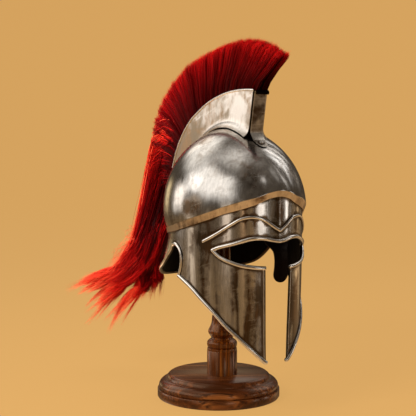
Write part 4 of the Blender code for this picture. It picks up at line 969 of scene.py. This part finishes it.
def brush_hairs(count, stations, tufts, side_way):
    """Paths of the brush's hairs on one side: they stand straight out and lean back more and more."""
    base = chance.random(count) ** 0.92 * BRUSH_END
    number = np.round(base * tufts / BRUSH_END + chance.normal(0, 0.3, count)).astype(int)
    number = np.clip(number, 0, tufts)
    jump = chance.normal(0, 1, (tufts + 1, 3))[number]
    tuft = number / tufts * BRUSH_END
    side = side_way * (1 - 1.05 * chance.random(count) ** 1.5)
    end = 1.0 - 0.10 * np.abs(side) ** 2.5 - 0.07 * chance.random(count) ** 1.6 + 0.008 * jump[:, 0]
    end = end + 0.040 * (chance.random(count) < 0.04) + chance.normal(0, 0.011, count)
    end = end - 0.10 * ease((base - 0.68) / 0.18)
    lean = 0.05 * np.clip((base - 0.42) / 0.3, 0, 1) ** 1.3
    paths = np.zeros((count, stations, 3))
    along = np.zeros((count, stations))
    stray = chance.normal(0, 0.0022, count) + 0.0025 * jump[:, 1] + lean
    for station, flow in enumerate(np.linspace(0, 1, stations)):
        reach = (flow * 1.12 - 0.12) * end
        share = np.clip(base + ((tuft - base) * 0.45 + stray) * flow ** 2, 0, 1)
        root, brim, tip, half = fan_rows(share)
        inside = np.clip(-reach / 0.12, 0, 1)[:, None]
        spot = brim + (tip - brim) * np.maximum(reach, 0)[:, None] + (root - brim) * 0.3 * inside
        wide = (ROOT_HALF * np.interp(reach, (0, 0.22, 0.6), (1, 0.75, 0))
                + half * np.interp(reach, (0, 0.22, 0.6, 0.9), (0, 0.25, 0.86, 1)))
        spot[:, 0] = side * wide + 0.0010 * jump[:, 2] * flow ** 2
        paths[:, station] = spot
        along[:, station] = np.clip(reach, 0, 1)
    return paths, along, side, jump[:, 2]


for name, side_way in (("crest_brush_right", -1), ("crest_brush_left", 1)):
    paths, along, side, tint = brush_hairs(BRUSH_HAIRS, 4, 170, side_way)
    facing = np.stack((np.sign(side), 0 * side, 0 * side), 1) + chance.normal(0, 0.6, (len(side), 3))
    # Painted shade: hairs nearer the middle of the brush are darker.
    tone_and_shade = chance.normal(0, 0.16, len(side)) - 0.30 * (1 - np.abs(side)) + 0.10 * tint
    width = 0.00045 + 0.00045 * chance.random(len(side))
    brush = lay_hair(name, paths, facing, width, along * 0.82, tone_and_shade, fan_hair)
    fit(brush, "red_horsehair", "plume_fan")


def skin(name, rings, look):
    """Closed skin over rings of points."""
    mesh = bmesh.new()
    join_rings(mesh, rings)
    bmesh.ops.recalc_face_normals(mesh, faces=mesh.faces)
    return finish_piece(name, mesh, (look,), sharp=80)


def fan_ring(share, rows, shrink=1.0, pointed=False):
    """Ring round the brush at a share of its way from front to back, from rows of the reach and the
    shares of the holder's and the tips' half width."""
    root, brim, tip, half = (value[0] for value in fan_rows(np.array([share])))
    sides = [(root, ROOT_HALF)]
    for reach, of_root, of_tip in rows:
        sides.append((brim + (tip - brim) * reach, (ROOT_HALF * of_root + half * of_tip) * shrink))
    right, left = ([spot + (way * wide, 0, 0) for spot, wide in sides] for way in (-1, 1))
    return np.array(right + [tip] * pointed + left[::-1])


# The brush is so thick that no light goes through: a dark mass of hair fills its middle.
deep_hair, tree, shader = new_look("deep_red_hair", Roughness=0.8)
strand = use_group(tree, "rubbing_streaks", Vector=place_on(tree), Across=300.0, Along=300.0)["Fine"]
deep_red = mixed(tree, strand, (0.006, 0.0003, 0.0003), (0.035, 0.0008, 0.001))
tree.links.new(deep_red, shader.inputs["Base Color"])
CORE = ((0, 1, 0), (0.3, 0.6, 0.4), (0.6, 0, 0.86), (0.84, 0, 0.8), (0.91, 0, 0.4))
cores = [fan_ring(share, CORE, 0.8 - 0.35 * ease((share - 0.7) / 0.25))
         for share in np.linspace(0.012, 1.0, 60)]
fit(skin("crest_brush_core", cores, deep_hair), "red_horsehair", "plume_fan")

# ---- Trailing hair ------------------------------------------------------------------------
# Towards the back the hair is left long. It bends over out of the holder, falls down the back of
# the skull and the neck, and is swept to the wearer's right, where it parts into thin wisps.
TAIL_THICK = 0.052
# In thicknesses of the tail: right, back and height of its middle, half width and half depth.
TAIL = smooth_rows((
    (-0.10, 3.36, 5.20, 0.55, 1.46), (-0.25, 3.48, 4.68, 0.57, 1.37), (-0.52, 3.54, 4.16, 0.56, 1.10),
    (-0.90, 3.74, 3.67, 0.50, 0.88), (-1.28, 4.13, 3.34, 0.40, 0.64),
    (-1.62, 4.52, 3.13, 0.26, 0.38)), steps=4)
# Row of the tail that each lock leaves, how far outside, its tip and its thickness.
LOCKS = (
    (4, 0.85, -2.85, 5.31, 2.96, 0.21), (4, 0.35, -2.50, 5.17, 2.76, 0.21),
    (4, 0.00, -2.21, 5.24, 2.29, 0.22), (4, -0.40, -2.08, 5.37, 1.66, 0.21),
    (3, -0.70, -1.54, 4.88, 1.47, 0.21), (3, -0.92, -1.19, 3.62, 2.53, 0.20),
    (2, -0.86, -0.48, 3.80, 2.63, 0.18))
OUTLINE = ((-0.97, 0.42), (-0.60, 0.86), (-0.15, 1.0), (0.42, 0.90), (0.80, 0.60), (0.95, 0.30))
END = ((0, 1, 0), (0.22, 0.75, 0.25), (0.6, 0, 0.86), (0.9, 0, 1), (0.985, 0, 0.62))
end_ring = fan_ring(1.0, END, pointed=True)
tail_rings = [end_ring + (0, 0, 0.012), end_ring + (0, 0, -0.006)]
for lean, (*middle, across, deep) in zip(np.linspace(0, 1, len(TAIL)), TAIL):
    middle = np.array(middle) * TAIL_THICK
    deep_way = np.array((-0.35 * lean, 1 - 0.2 * lean, 0.9 * lean))
    deep_way *= deep * TAIL_THICK / np.linalg.norm(deep_way)
    across_way = np.array((1.0, 0.35 * lean, 0.0))
    across_way *= across * TAIL_THICK / np.linalg.norm(across_way)
    right, left = ([middle + deep_way * out + across_way * (way * wide) for out, wide in OUTLINE]
                   for way in (-1, 1))
    tail_rings.append(np.array(right + [middle + deep_way] + left[::-1]))
tail_rings = np.array(tail_rings)


def in_plume(along, depth, side):
    """Points of the plume: along 0 to 1 over the holder and 1 to 2 down the tail, depth 0 at the
    helmet to 1 outside, side -1 to 1 from the wearer's right to left."""
    root, brim, tip, half = fan_rows(np.clip(along, 0, 1))
    wide = (ROOT_HALF * np.interp(depth, (0, 0.6), (1, 0))
            + half * np.interp(depth, (0, 0.6, 0.9), (0, 0.86, 1)))
    wide = wide * np.sqrt(np.clip((1.04 - depth) / 0.14, 0.05, 1))
    over = brim + (tip - brim) * np.maximum(depth, 0)[:, None]
    over += (root - brim) * np.clip(-depth, 0, 1)[:, None]
    over[:, 0] += side * wide
    ring = 1 + np.clip(along - 1, 0, 1) * (len(tail_rings) - 2.001)
    low = np.floor(ring).astype(int)
    part = (ring - low)[:, None]
    place = np.interp(depth, (-0.3, 0, 0.22, 0.6, 0.9, 0.985, 1), range(7))
    step = np.minimum(np.floor(place).astype(int), 5)
    rest = (place - step)[:, None]
    right, left = (
        (tail_rings[low, first] * (1 - rest) + tail_rings[low, second] * rest) * (1 - part)
        + (tail_rings[low + 1, first] * (1 - rest) + tail_rings[low + 1, second] * rest) * part
        for first, second in ((step, step + 1), (12 - step, 11 - step)))
    hanging = (right + left) / 2 + (left - right) / 2 * side[:, None]
    blend = ease((along - 0.97) / 0.06)[:, None]
    return over * (1 - blend) + hanging * blend


def through(points, stations):
    """Smooth paths through control points of (hair, point, xyz), cut into stations."""
    last = points.shape[1] - 1
    out = []
    for at in np.linspace(0, last, stations):
        index = min(int(at), last - 1)
        a, b = points[:, max(index - 1, 0)], points[:, index]
        c, d = points[:, index + 1], points[:, min(index + 2, last)]
        out.append(along_curve(a, b, c, d, at - index))
    return np.stack(out, 1)


def sway(paths, amount, waves=2.0):
    """Small slow wander of each hair, growing from root to tip."""
    count, stations = paths.shape[:2]
    flow = np.linspace(0, 1, stations)[None, :, None]
    turn = chance.random((count, 1, 3)) * 2 * np.pi
    size = chance.normal(0, amount, (count, 1, 3))
    return paths + np.sin(flow * waves * np.pi + turn) * flow ** 1.5 * size


def curled(paths, number, clumps, size, turns, start):
    """Hairs waved alike in each clump, from a share of the size at the root to all of it at the tip."""
    flow = np.linspace(0, 1, paths.shape[1])
    way = chance.normal(0, size, (clumps, 1, 3))[number]
    wave = np.sin(flow * turns * np.pi + chance.random(clumps)[number, None] * 6)
    return paths + way * (wave * (start + (1 - start) * flow))[..., None]


def bend_at(base):
    """How far down the plume a long hair has bent over, by where it is rooted."""
    return np.minimum(0.16, 0.35 * (1.02 - base) + 0.02)


def falling_start(base, side, depth):
    """First points of a long hair: out of the holder, over and down to the end of the holder."""
    bend = bend_at(base)
    return [in_plume(base, np.full_like(base, -0.25), side * 0.8),
            in_plume(base + 0.004, 0.10 * depth, side * 0.9),
            in_plume(base + bend * 0.30, 0.55 * depth, side), in_plume(base + bend, 0.92 * depth, side)]


def clumped(count, clumps):
    """Number of each hair's clump, and a way to spread values of the clumps over their hairs."""
    number = chance.integers(0, clumps, count)
    return number, lambda values, amount: values[number] + chance.normal(0, amount, count)


# The trailing hair's bright orange tips are partly painted light shining through the thin ends.
tail_look = hair_look("red_trailing_hair", (
    (0.0, (0.016, 0.0003, 0.0005)), (0.25, (0.085, 0.0008, 0.0014)), (0.50, (0.34, 0.003, 0.0035)),
    (0.75, (0.74, 0.020, 0.012)), (1.0, (0.98, 0.15, 0.07))), 0.36)

# The mane: hairs rooted highest lie outermost, and they end anywhere down the tail, so it is shaggy.
MANE_START = 0.67  # share of the holder's way from where on the hair is left long
MANE_LONG = 1 - MANE_START
count, clumps = 8600, 420
number, near = clumped(count, clumps)
start = MANE_START + MANE_LONG * chance.random(clumps) ** 0.85
base = np.clip(near(start, 0.016), MANE_START - 0.03, 0.998)
way = np.where(chance.random(clumps) < 0.5, -1.0, 1.0) * (1 - 0.75 * chance.random(clumps) ** 1.4)
side = np.clip(near(way, 0.10), -1, 1)
lie = 1.0 - (start - MANE_START) / MANE_LONG * 0.82 + chance.normal(0, 0.10, clumps)
depth = np.clip(near(np.clip(lie, 0.12, 1.0), 0.045), 0.06, 1.0) - 0.04 * chance.random(count) ** 2
stop = near(np.clip(start + 0.25 + 0.9 * chance.random(clumps), 1.1, 1.88), 0.05)
drift = chance.normal(0, 0.10, clumps)[number]
points = falling_start(base, side, depth)
bent = base + bend_at(base)
for share in (0.25, 0.5, 0.75, 1.0):
    deep, aside = np.clip(depth + drift * share, 0.04, 1.0), np.clip(side * (1 - 0.1 * share), -1, 1)
    points.append(in_plume(bent + (stop - bent) * share, deep, aside))
paths = sway(through(np.stack(points, 1), 11), 0.0021, 3.0)
paths = curled(paths, number, clumps, 0.0022, 2.6, 0.2)
flow = np.linspace(0, 1, 11)
shaggy = chance.normal(0, 1, (count, 1, 3)) * (0.0040 * (chance.random(count) < 0.22))[:, None, None]
paths += shaggy * flow[:, None] ** 3
tone_and_shade = chance.normal(0, 0.18, count) + chance.normal(0, 0.16, clumps)[number]
# Painted shade: hairs lying deeper, nearer the helmet, are darker.
tone_and_shade += np.maximum(2.2 * (depth - 0.83), -0.7)
facing = np.stack((np.sign(side), 0.6 * depth, 0.3 * depth), 1) + chance.normal(0, 0.5, (count, 3))
# Darker towards the root, partly as painted shade.
bright = 0.20 + 0.46 * ease(flow * 2.2) + 0.30 * flow ** 4
width = 0.0005 + 0.0006 * chance.random(count)
mane = lay_hair("trailing_mane", paths, facing, width, bright, tone_and_shade, tail_look)
fit(mane, "red_horsehair", "plume_tail")

# The longest hairs run on past the mane into locks, and each lock parts into thin wisps.
PER_LOCK, WISPS = 1000, 18
groups, tones, depths = [], [], []
for row, aside, *tip, thick in LOCKS:
    raised = aside > 0.2
    start = (TAIL[row * 4, :3] + np.array((0, 0.7, 0.6)) * TAIL[row * 4, 4] * aside) * TAIL_THICK
    end = np.array(tip) * TAIL_THICK
    number, near = clumped(PER_LOCK, WISPS)
    turn, out = chance.random(PER_LOCK) * 2 * np.pi, np.sqrt(chance.random(PER_LOCK))
    along = (end - start) / np.linalg.norm(end - start)
    first = np.cross(along, (0, 0, 1.0))
    first /= np.linalg.norm(first)
    second = np.cross(along, first)
    offset = 1.5 * np.cos(turn)[:, None] * first + np.sin(turn)[:, None] * second
    ways, far = chance.random((WISPS, 1)) * 2 * np.pi, chance.uniform(0.3, 1.35, (WISPS, 1))
    far[:2] = 0.1
    parting = far * (1.6 * np.cos(ways) * first + np.sin(ways) * second)
    if raised:
        parting[:, 2] = np.minimum(parting[:, 2], 0.3 * parting[:, 2])
    length = 0.92 - 0.45 * chance.random(WISPS)
    length[:2] = 1.05
    outer = (aside + 0.74) / 1.5
    depth = np.clip(near(np.linspace(0.1, 0.9, WISPS) * 0.5 + 0.5 * outer, 0.12), 0.1, 1.0)
    rooted = np.clip(chance.random(WISPS) * 0.7 + 0.3 * outer, 0, 1)
    base = np.clip(near(1.0 - 0.36 * rooted, 0.02), 0.60, 0.998)
    side = np.clip(near(chance.uniform(-0.95, 0.6, WISPS), 0.14), -1, 1)
    points = falling_start(base, side, depth)
    leave = max(row * 4 - 2, 1) / (len(tail_rings) - 2) + 0 * base
    points += [in_plume(1 + leave * 0.35, depth, side), in_plume(1 + leave, depth * 0.9, side * 0.9)]
    reach = length[number] * (1.0 - 0.55 * chance.random(PER_LOCK) ** 1.3)
    size = thick * TAIL_THICK
    for share in (0.22, 0.5, 0.76, 1.0):
        t = (share * reach)[:, None]
        spot = start + (end - start) * t + parting[number] * size * (0.3 + 0.8 * t)
        spot += offset * 0.22 * size * out[:, None] * np.maximum(1.03 - t, 0.0) ** 0.8
        points.append(spot + (0, 0, (0.03 if raised else 0.11) * TAIL_THICK) * (4 * t * (1 - t)))
    paths = sway(through(np.stack(points, 1), 14), 0.0026)
    groups.append(curled(paths, number, WISPS, 0.0034, 3.2, 0.0))
    tones.append(chance.normal(0, 0.15, PER_LOCK) + chance.normal(0, 0.12, WISPS)[number])
    depths.append(depth)
paths = np.concatenate(groups)
count = len(paths)
facing = chance.normal(0, 1, (count, 3))
flow = np.linspace(0, 1, 14)
shade = np.clip(1.3 * (np.concatenate(depths) - 0.86), -0.45, 0.0)[:, None]
inner = (np.arange(count) >= 5 * PER_LOCK)[:, None]  # the last two locks lie in the others' shade
bright = 0.22 + 0.42 * ease(flow * 2.0) + 0.36 * flow ** 5 - 0.26 * inner
bright = bright + shade * (1 - ease((flow - 0.45) / 0.30))
width = 0.0004 + 0.0005 * chance.random(count)
locks = lay_hair("tail_locks", paths, facing, width, bright, np.concatenate(tones), tail_look)
fit(locks, "red_horsehair", "plume_tail")

# A few hairs have come loose and stand off the tail in wide bows.
count = 260
base, depth = 0.62 + 0.36 * chance.random(count), 0.85 + 0.15 * chance.random(count)
side = chance.uniform(-1, 1, count)
points = falling_start(base, side, depth)
stop = chance.uniform(1.35, 1.95, count)
for share in (0.3, 0.6, 0.8, 1.0):
    spot = in_plume(1 + (stop - 1) * share, depth, side)
    points.append(spot + chance.normal(0, 1, (count, 3)) * (0.013, 0.015, 0.011) * share)
paths = sway(through(np.stack(points, 1), 22), 0.003, 3.0)
paths = np.clip(paths, np.array(cad_box[0]) - 0.006, np.array(cad_box[1]) + 0.006)
facing, tone_and_shade = chance.normal(0, 1, (count, 3)), chance.normal(0, 0.15, count)
loose = lay_hair("loose_hairs", paths, facing, np.full(count, 0.0008), 0.90, tone_and_shade, tail_look)
fit(loose, "red_horsehair", "plume_tail")
core = [ring.mean(0) + (ring - ring.mean(0)) * 0.6 for ring in tail_rings[1:-7]]
fit(skin("tail_core", core, deep_hair), "red_horsehair", "plume_tail")

# ---- Stand --------------------------------------------------------------------------------
# Base and column are turned from dark red hardwood, stained and varnished to a gloss. The base
# is a board with its grain across, and the column's grain runs upright. The column is dowelled
# in a little ahead of the middle, and a plain disc on top of it carries the helmet.
tree, given, put = new_group(
    "wood_grain", ("Figure", "Pores"), Vector=(0, 0, 0), Turn=(0, 0, 0), Stretch=(1, 1, 1))
laid = add_node(tree, "ShaderNodeMapping", {"Vector": given["Vector"], "Rotation": given["Turn"]})
drawn = vector_maths(tree, "MULTIPLY", laid.outputs[0], given["Stretch"])
tree.links.new(noise(tree, drawn, 40.0, 5.0, Distortion=0.5)[0], put["Figure"])
tree.links.new(noise(tree, drawn, 190.0, 3.0)[0], put["Pores"])


def varnished_wood(name, turn, stretch, colours):
    """Dark stained hardwood under gloss varnish."""
    look, tree, shader = new_look(
        name, Roughness=0.27, Specular_IOR_Level=0.7, Specular_Tint=(1.0, 0.66, 0.40, 1.0),
        Coat_Weight=0.15, Coat_Roughness=0.10)
    grain = use_group(tree, "wood_grain", Vector=place_on(tree), Turn=turn, Stretch=stretch)
    fleck = remap(tree, grain["Pores"], 0.36, 0.56)
    wood = mixed(tree, fleck, (0.022, 0.0062, 0.0020), colour_ramp(tree, grain["Figure"], colours))
    tree.links.new(wood, shader.inputs["Base Color"])
    add_relief(tree, shader, 0.12, 0.0004, grain["Pores"])
    return look


board_wood = varnished_wood("varnished_board", (0, 0, math.radians(31)), (0.07, 1.7, 1.0), (
    (0.30, (0.018, 0.0046, 0.0012)), (0.46, (0.048, 0.0125, 0.0030)), (0.58, (0.085, 0.024, 0.0055)),
    (0.72, (0.21, 0.072, 0.018))))
upright_wood = varnished_wood("varnished_upright", (0, 0, 0), (2.2, 2.2, 0.09), (
    (0.30, (0.017, 0.0034, 0.0005)), (0.46, (0.048, 0.0108, 0.0012)), (0.58, (0.105, 0.028, 0.0029)),
    (0.72, (0.24, 0.078, 0.010))))


def turned(name, outline, sides, look, ahead=0.0, sharp=40, closed=True):
    """Solid turned about an upright line, from rows of (radius, height) outwards and down."""
    turns = np.arange(sides) * 2 * math.pi / sides
    ring = np.stack((np.cos(turns), np.sin(turns), 0 * turns), 1)
    mesh = bmesh.new()
    join_rings(mesh, [ring * radius + (0, -ahead, height) for radius, height in outline], end=closed)
    return finish_piece(name, mesh, (look,), sharp=sharp)


def rounded(rows):
    """Outline with the runs between sharp corners smoothed; a row's third value marks a corner."""
    runs, run = [], []
    for *spot, corner in rows:
        run.append(spot)
        if corner and len(run) > 1:
            runs.append(run)
            run = [spot]
    return np.concatenate([smooth_rows(run, 6) if len(run) > 2 else np.array(run) for run in runs])


BASE_ROUND, BASE_HIGH = 0.1, 0.038
base = rounded((
    (0.02, 1.0, 1), (0.795, 1.0, 1), (0.805, 0.985, 1), (0.83, 0.93, 1), (0.84, 0.80, 1),
    (0.87, 0.785, 0), (0.915, 0.735, 0), (0.953, 0.65, 0), (0.974, 0.55, 0), (0.976, 0.44, 0),
    (0.965, 0.385, 1), (0.995, 0.375, 1), (1.0, 0.35, 1), (1.0, 0.06, 1), (0.985, 0.0, 1),
    (0.02, 0.0, 1))) * (BASE_ROUND, BASE_HIGH)
fit(turned("turned_base", base, 144, board_wood), "dark_wood", "stand_base")
low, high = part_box("stand_column")
column = rounded((
    (0.05, 1.0, 1), (0.55, 1.0, 1), (0.55, 0.90, 1), (0.57, 0.31, 0), (0.66, 0.262, 0),
    (0.685, 0.240, 0), (0.73, 0.225, 0), (0.83, 0.209, 0), (0.92, 0.196, 0), (0.905, 0.185, 0),
    (0.82, 0.175, 0), (0.72, 0.166, 1), (0.735, 0.1605, 1), (0.90, 0.152, 0), (0.985, 0.145, 0),
    (1.0, 0.136, 0), (0.975, 0.126, 0), (0.91, 0.1195, 1), (0.975, 0.1175, 1), (0.985, 0.113, 0),
    (0.975, 0.108, 1), (1.0, 0.1055, 1), (1.0, 0.0, 1), (0.05, 0.0, 1)))
column = column * (0.0245, high.z - low.z) + (0, low.z)
fit(turned("turned_column", column, 96, upright_wood, ahead=0.011), "dark_wood", "stand_column")
recolour("stand_head", upright_wood)

# ---- Floor, light and camera --------------------------------------------------------------
# A pale plain floor that curves up all round, soft lights high on the left, on the right and
# overhead, and the camera where the photographer stood. The steel mirrors a dim room with large
# soft windows, which only its reflections see.
floor_look = new_look(
    "pale_floor", Base_Color=(0.07, 0.040, 0.014, 1), Roughness=0.85, Specular_IOR_Level=0.1,
    Emission_Color=(0.62, 0.345, 0.108, 1), Emission_Strength=1.0)[0]
ground = smooth_rows(((0.02, 0), (1.0, 0), (2.6, 0), (3.4, 0.25), (3.8, 1.0), (3.9, 2.2)), steps=6)
floor = turned("pale_floor", ground - (0, 0.0005), 96, floor_look, sharp=80, closed=False)
floor.visible_glossy = False


def soft_light(name, place, target, size, power, colour):
    """Rectangular soft light aimed at a target, left out of reflections."""
    lamp = bpy.data.lights.new(name, "AREA")
    lamp.shape = "RECTANGLE"
    lamp.size, lamp.size_y = size
    lamp.energy = power
    lamp.color = colour
    thing = new_object(name, lamp)
    thing.location = place
    thing.rotation_euler = (Vector(target) - Vector(place)).to_track_quat("-Z", "Y").to_euler()
    thing.visible_glossy = False


soft_light("key_light", (-1.25, -0.45, 1.15), (0, 0, 0.32), (0.7, 0.7), 42, (1.0, 0.95, 0.88))
soft_light("side_light", (0.75, -1.35, 0.75), (0, 0, 0.3), (0.35, 1.1), 6, (1.0, 0.93, 0.84))
soft_light("top_light", (0.1, 0.2, 1.9), (0, 0, 0.3), (1.0, 1.0), 18, (1.0, 0.96, 0.92))

# Windows of the room: turn and rise of the middle, half width and half height in degrees,
# softness and colour.
WINDOWS = (
    (-100, 28, 50, 22, 0.6, (1.35, 1.29, 1.22)), (-134, 20, 16, 13, 0.7, (1.2, 1.15, 1.10)),
    (-165, 42, 36, 24, 0.8, (1.30, 1.24, 1.15)), (-95, 72, 75, 26, 0.8, (0.60, 0.575, 0.54)),
    (-186, 31, 15, 15, 0.8, (1.5, 1.36, 1.2)), (-127, 50, 14, 12, 0.8, (0.35, 0.33, 0.31)),
    (-4, 46, 6, 8, 0.8, (1.2, 1.15, 1.1)), (86, 40, 4, 26, 0.7, (2.2, 2.15, 2.1)),
    (99, 42, 4, 26, 0.7, (2.6, 2.5, 2.4)), (112, 40, 3, 24, 0.8, (1.7, 1.6, 1.5)),
    (66, 36, 3, 22, 0.8, (1.2, 1.15, 1.1)), (124, 30, 3, 16, 0.8, (1.1, 1.05, 1.0)),
    (43, 48, 12, 14, 0.8, (0.26, 0.25, 0.24)), (108, 14, 8, 9, 0.8, (0.40, 0.37, 0.33)),
    (-147, 6, 11, 10, 0.6, (1.7, 1.56, 1.42)), (-120, 4, 9, 7, 0.8, (0.55, 0.42, 0.30)),
    (-178, 1, 10, 9, 0.8, (0.95, 0.73, 0.40)), (-130, -5, 8, 12, 0.8, (0.85, 0.72, 0.58)),
    (-100, -6, 5, 12, 0.8, (0.32, 0.25, 0.18)), (-72, 1, 7, 9, 0.4, (1.15, 0.97, 0.80)),
    (-43, -4, 3, 12, 0.8, (0.85, 0.50, 0.26)), (-22, -12, 9, 10, 0.9, (0.19, 0.105, 0.040)),
    (-10, 2, 8, 10, 0.4, (2.0, 1.9, 1.8)), (-50, 6, 10, 6, 0.8, (0.30, 0.27, 0.23)),
    (40, 1, 5, 9, 0.4, (1.9, 1.8, 1.7)), (67, 1, 5, 9, 0.4, (2.4, 2.3, 2.2)),
    (100, -8, 22, 12, 0.9, (0.72, 0.48, 0.25)), (138, 34, 8, 12, 0.7, (1.0, 0.95, 0.85)),
    (149, 12, 14, 8, 0.8, (0.55, 0.33, 0.17)), (-170, -42, 34, 20, 0.8, (1.3, 0.92, 0.60)))
world = bpy.data.worlds.new("soft_room")
world.use_nodes = True
bpy.context.scene.world = world
tree, given, put = new_group(
    "soft_window", ("Mask",), Turn=0.0, Rise=0.0, Middle_Turn=0.0, Middle_Rise=0.0,
    Half_Wide=10.0, Half_High=10.0, Soft=0.5)
inside = maths(tree, "SUBTRACT", 1.0, given["Soft"])
masks = []
for way, middle, half in (("Turn", "Middle Turn", "Half Wide"), ("Rise", "Middle Rise", "Half High")):
    off = maths(tree, "WRAP", maths(tree, "SUBTRACT", given[way], given[middle]), 180.0, -180.0)
    off = maths(tree, "DIVIDE", maths(tree, "ABSOLUTE", off), given[half])
    masks.append(remap(tree, off, 1.0, inside, "SMOOTHSTEP"))
tree.links.new(maths(tree, "MULTIPLY", *masks), put["Mask"])
tree = world.node_tree
way = add_node(tree, "ShaderNodeTexCoord").outputs["Generated"]
unit = add_node(tree, "ShaderNodeVectorMath", {0: way}, operation="NORMALIZE").outputs[0]
axis = add_node(tree, "ShaderNodeSeparateXYZ", {0: unit}).outputs
turn = maths(tree, "ARCTAN2", axis[0], maths(tree, "MULTIPLY", axis[1], -1.0))
rise = maths(tree, "ARCSINE", axis[2])
shake = add_node(tree, "ShaderNodeSeparateXYZ", {0: noise(tree, unit, 2.6, 3.0)["Color"]}).outputs
turn, rise = (
    maths(tree, "MULTIPLY_ADD", maths(tree, "SUBTRACT", shaken, 0.5), degrees,
          maths(tree, "DEGREES", angle))
    for angle, shaken, degrees in ((turn, shake[0], 18.0), (rise, shake[1], 14.0)))
glow = colour_ramp(tree, remap(tree, rise, -90.0, 90.0), (
    (0.0, (0.80, 0.52, 0.27)), (0.40, (0.27, 0.165, 0.075)), (0.50, (0.065, 0.048, 0.032)),
    (0.70, (0.085, 0.068, 0.052)), (0.85, (0.13, 0.11, 0.09)), (1.0, (0.5, 0.46, 0.42))))
for middle_turn, middle_rise, half_wide, half_high, soft, colour in WINDOWS:
    pane = use_group(tree, "soft_window", Turn=turn, Rise=rise, Middle_Turn=middle_turn,
                     Middle_Rise=middle_rise, Half_Wide=half_wide, Half_High=half_high, Soft=soft)
    glow = vector_maths(tree, "ADD", glow, vector_maths(tree, "SCALE", colour, pane["Mask"]))
tree.links.new(glow, tree.nodes["Background"].inputs["Color"])
tree.nodes["Background"].inputs["Strength"].default_value = 1.0
bpy.context.scene.view_settings.view_transform = "Standard"

lens = bpy.data.cameras.new("camera")
lens.sensor_width = 36.0
lens.lens = 983 / 416 * lens.sensor_width  # 983 pixels in a picture 416 pixels wide
camera = new_object("camera", lens)
camera.location = (-0.83695, -1.35936, 0.40547)
ahead = Vector((0.5141, 0.8556, -0.0609)).normalized()
camera.rotation_euler = ahead.to_track_quat("-Z", "Y").to_euler()
bpy.context.scene.camera = camera

bpy.context.view_layer.update()
